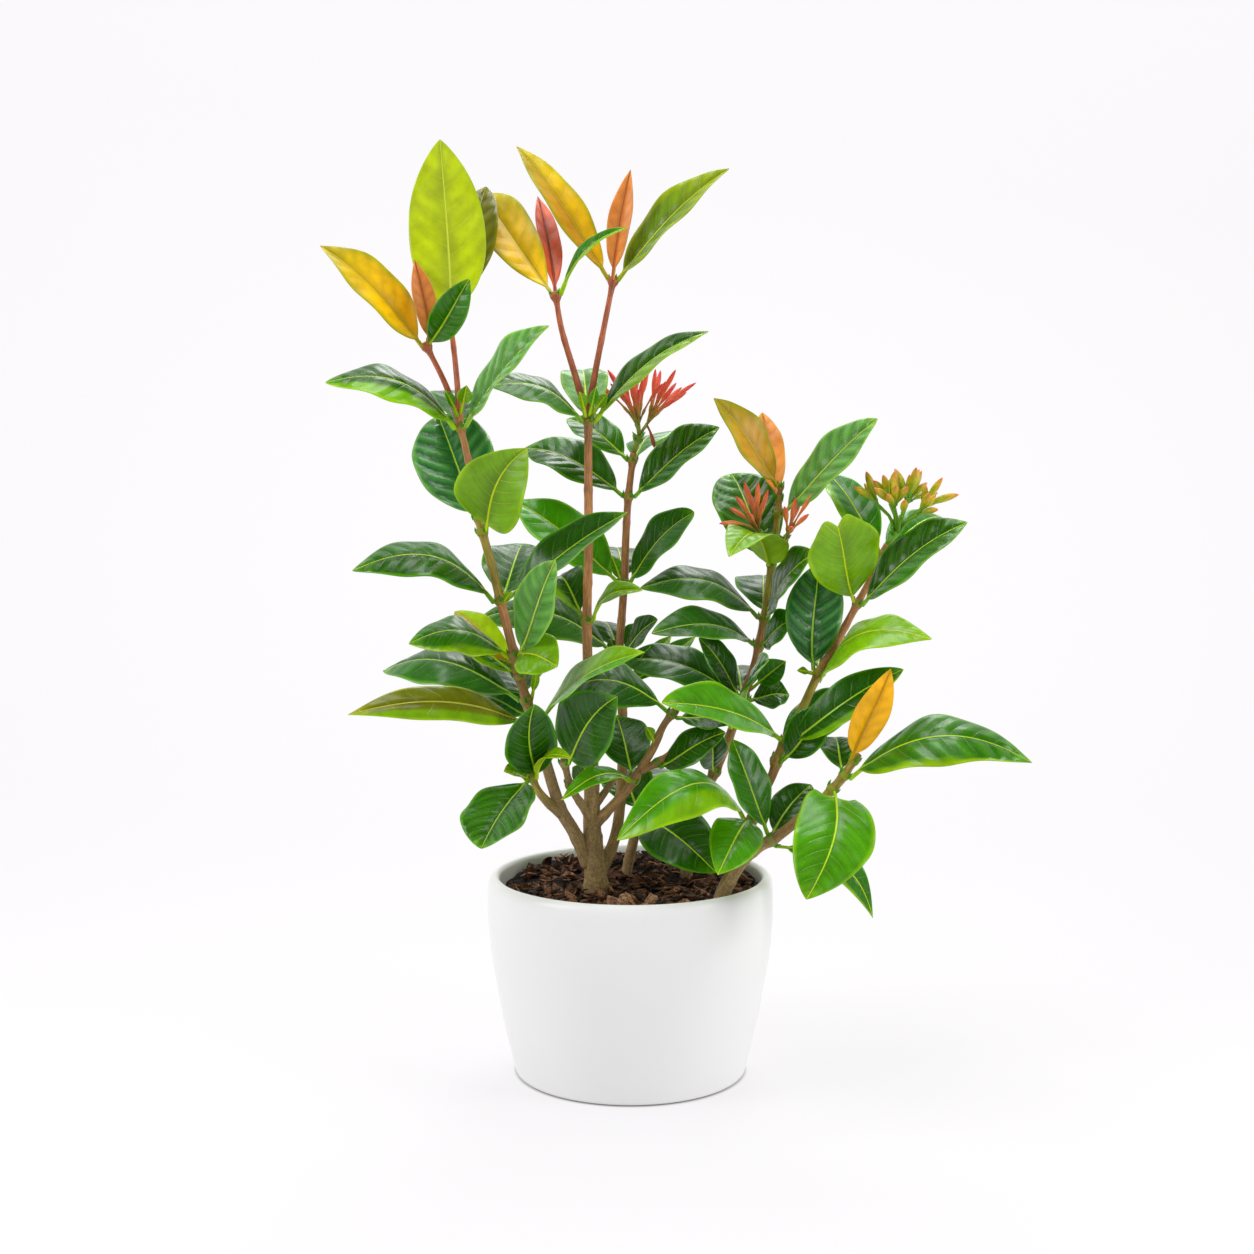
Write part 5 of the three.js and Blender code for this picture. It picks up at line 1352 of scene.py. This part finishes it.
# ---- floor, light and camera ---------------------------------------------------------------------
FLOOR_FRONT = -3.0
FLOOR_BACK = 2.2
FLOOR_HALF = 6.0
FLOOR_CURVE = 1.2
CURVE_STEPS = 24
WALL_TOP = 5.0
FLOOR_WHITE = (1.0, 0.985, 1.0, 1)
FLOOR_GLOW = 0.75
WALL_GLOW = 0.86
FLOOR_ALBEDO = 0.2
PAINTED_SHADOW_WIDTH = 3.5                # in mm, of the painted shadow round the pot's foot, a dark line in the floor's glow
WORLD_STRENGTH = 0.17
# Name, place, height of the target on the axis, size and power of each lamp
LIGHTS = [
    ("key_left", (-1.0, -0.5, 0.8), 0.25, 0.5, 7.4),
    ("fill_right", (1.0, -0.47, 0.6), 0.25, 0.45, 5.3),
    ("top", (-0.1, 0, 1.5), 0.3, 0.7, 10),
    ("behind", (0.2, 1.2, 1.7), 0.3, 0.8, 10),
    ("front", (0.8, -1.6, 0.75), 0.25, 0.9, 3),
]
CAMERA_PLACE = (-0.0022, -1.1714, 0.3943)
CAMERA_TILT = 0.095               # below level, in radians
CAMERA_LENS = 54.05
CAMERA_SENSOR = 36


def make_backdrop():
    """A white floor that curves up into a wall, and glows a little so that it stays white, but less in a
    painted shadow round the pot's foot.
    """
    n = Nodes("pale_floor")
    n.set(Base_Color=tuple(c * FLOOR_ALBEDO for c in FLOOR_WHITE[:3]) + (1,), Roughness=0.9)
    x, y, _ = n.parts(n.place())
    wall = n.ramp(y, 0.3, FLOOR_BACK, FLOOR_GLOW, WALL_GLOW)
    away = n.math("SQRT", n.plus(n.times(x, x), n.times(y, y)))
    # painted contact shadow: the glow is dimmed in a thin ring round the pot's foot
    wall = n.times(wall, n.ramp(away, BASE_RADIUS * MM, (BASE_RADIUS + PAINTED_SHADOW_WIDTH) * MM, 0.4, 1.0))
    n.set(Specular_IOR_Level=0.0, Emission_Color=FLOOR_WHITE, Emission_Strength=wall)
    line = [(FLOOR_FRONT, 0.0), (FLOOR_BACK - FLOOR_CURVE, 0.0)]
    for k in range(1, CURVE_STEPS + 1):
        angle = math.pi / 2 * k / CURVE_STEPS
        line.append((FLOOR_BACK - FLOOR_CURVE * (1 - math.sin(angle)), FLOOR_CURVE * (1 - math.cos(angle))))
    line.append((FLOOR_BACK, WALL_TOP))
    vertices = [(x, y, z) for y, z in line for x in (-FLOOR_HALF, FLOOR_HALF)]
    faces = [[2 * i, 2 * i + 1, 2 * i + 3, 2 * i + 2] for i in range(len(line) - 1)]
    mesh = bpy.data.meshes.new("backdrop")
    mesh.from_pydata(vertices, [], faces)
    mesh.polygons.foreach_set("use_smooth", [True] * len(faces))
    mesh.materials.append(n.material)
    place_object("backdrop", mesh)


def make_world():
    world = bpy.data.worlds.new("studio")
    world.use_nodes = True
    background = world.node_tree.nodes["Background"]
    background.inputs["Color"].default_value = (1, 1, 1, 1)
    background.inputs["Strength"].default_value = WORLD_STRENGTH
    bpy.context.scene.world = world


def make_light(name, place, aim, size, power):
    lamp = bpy.data.lights.new(name, "AREA")
    lamp.size = size
    lamp.energy = power
    light = place_object(name, lamp)
    light.location = place
    light.rotation_euler = (Vector((0, 0, aim)) - Vector(place)).to_track_quat("-Z", "Y").to_euler()


def make_camera():
    camera_data = bpy.data.cameras.new("camera")
    camera_data.sensor_width = CAMERA_SENSOR
    camera_data.lens = CAMERA_LENS
    camera = place_object("camera", camera_data)
    camera.location = CAMERA_PLACE
    camera.rotation_euler = (math.pi / 2 - CAMERA_TILT, 0, 0)
    bpy.context.scene.camera = camera
    bpy.context.scene.view_settings.view_transform = "Standard"


make_camera()
make_backdrop()
make_world()
for light_row in LIGHTS:
    make_light(*light_row)
make_pot()
make_soil()
make_stems()
make_leaves()
make_shoots()
make_heads()
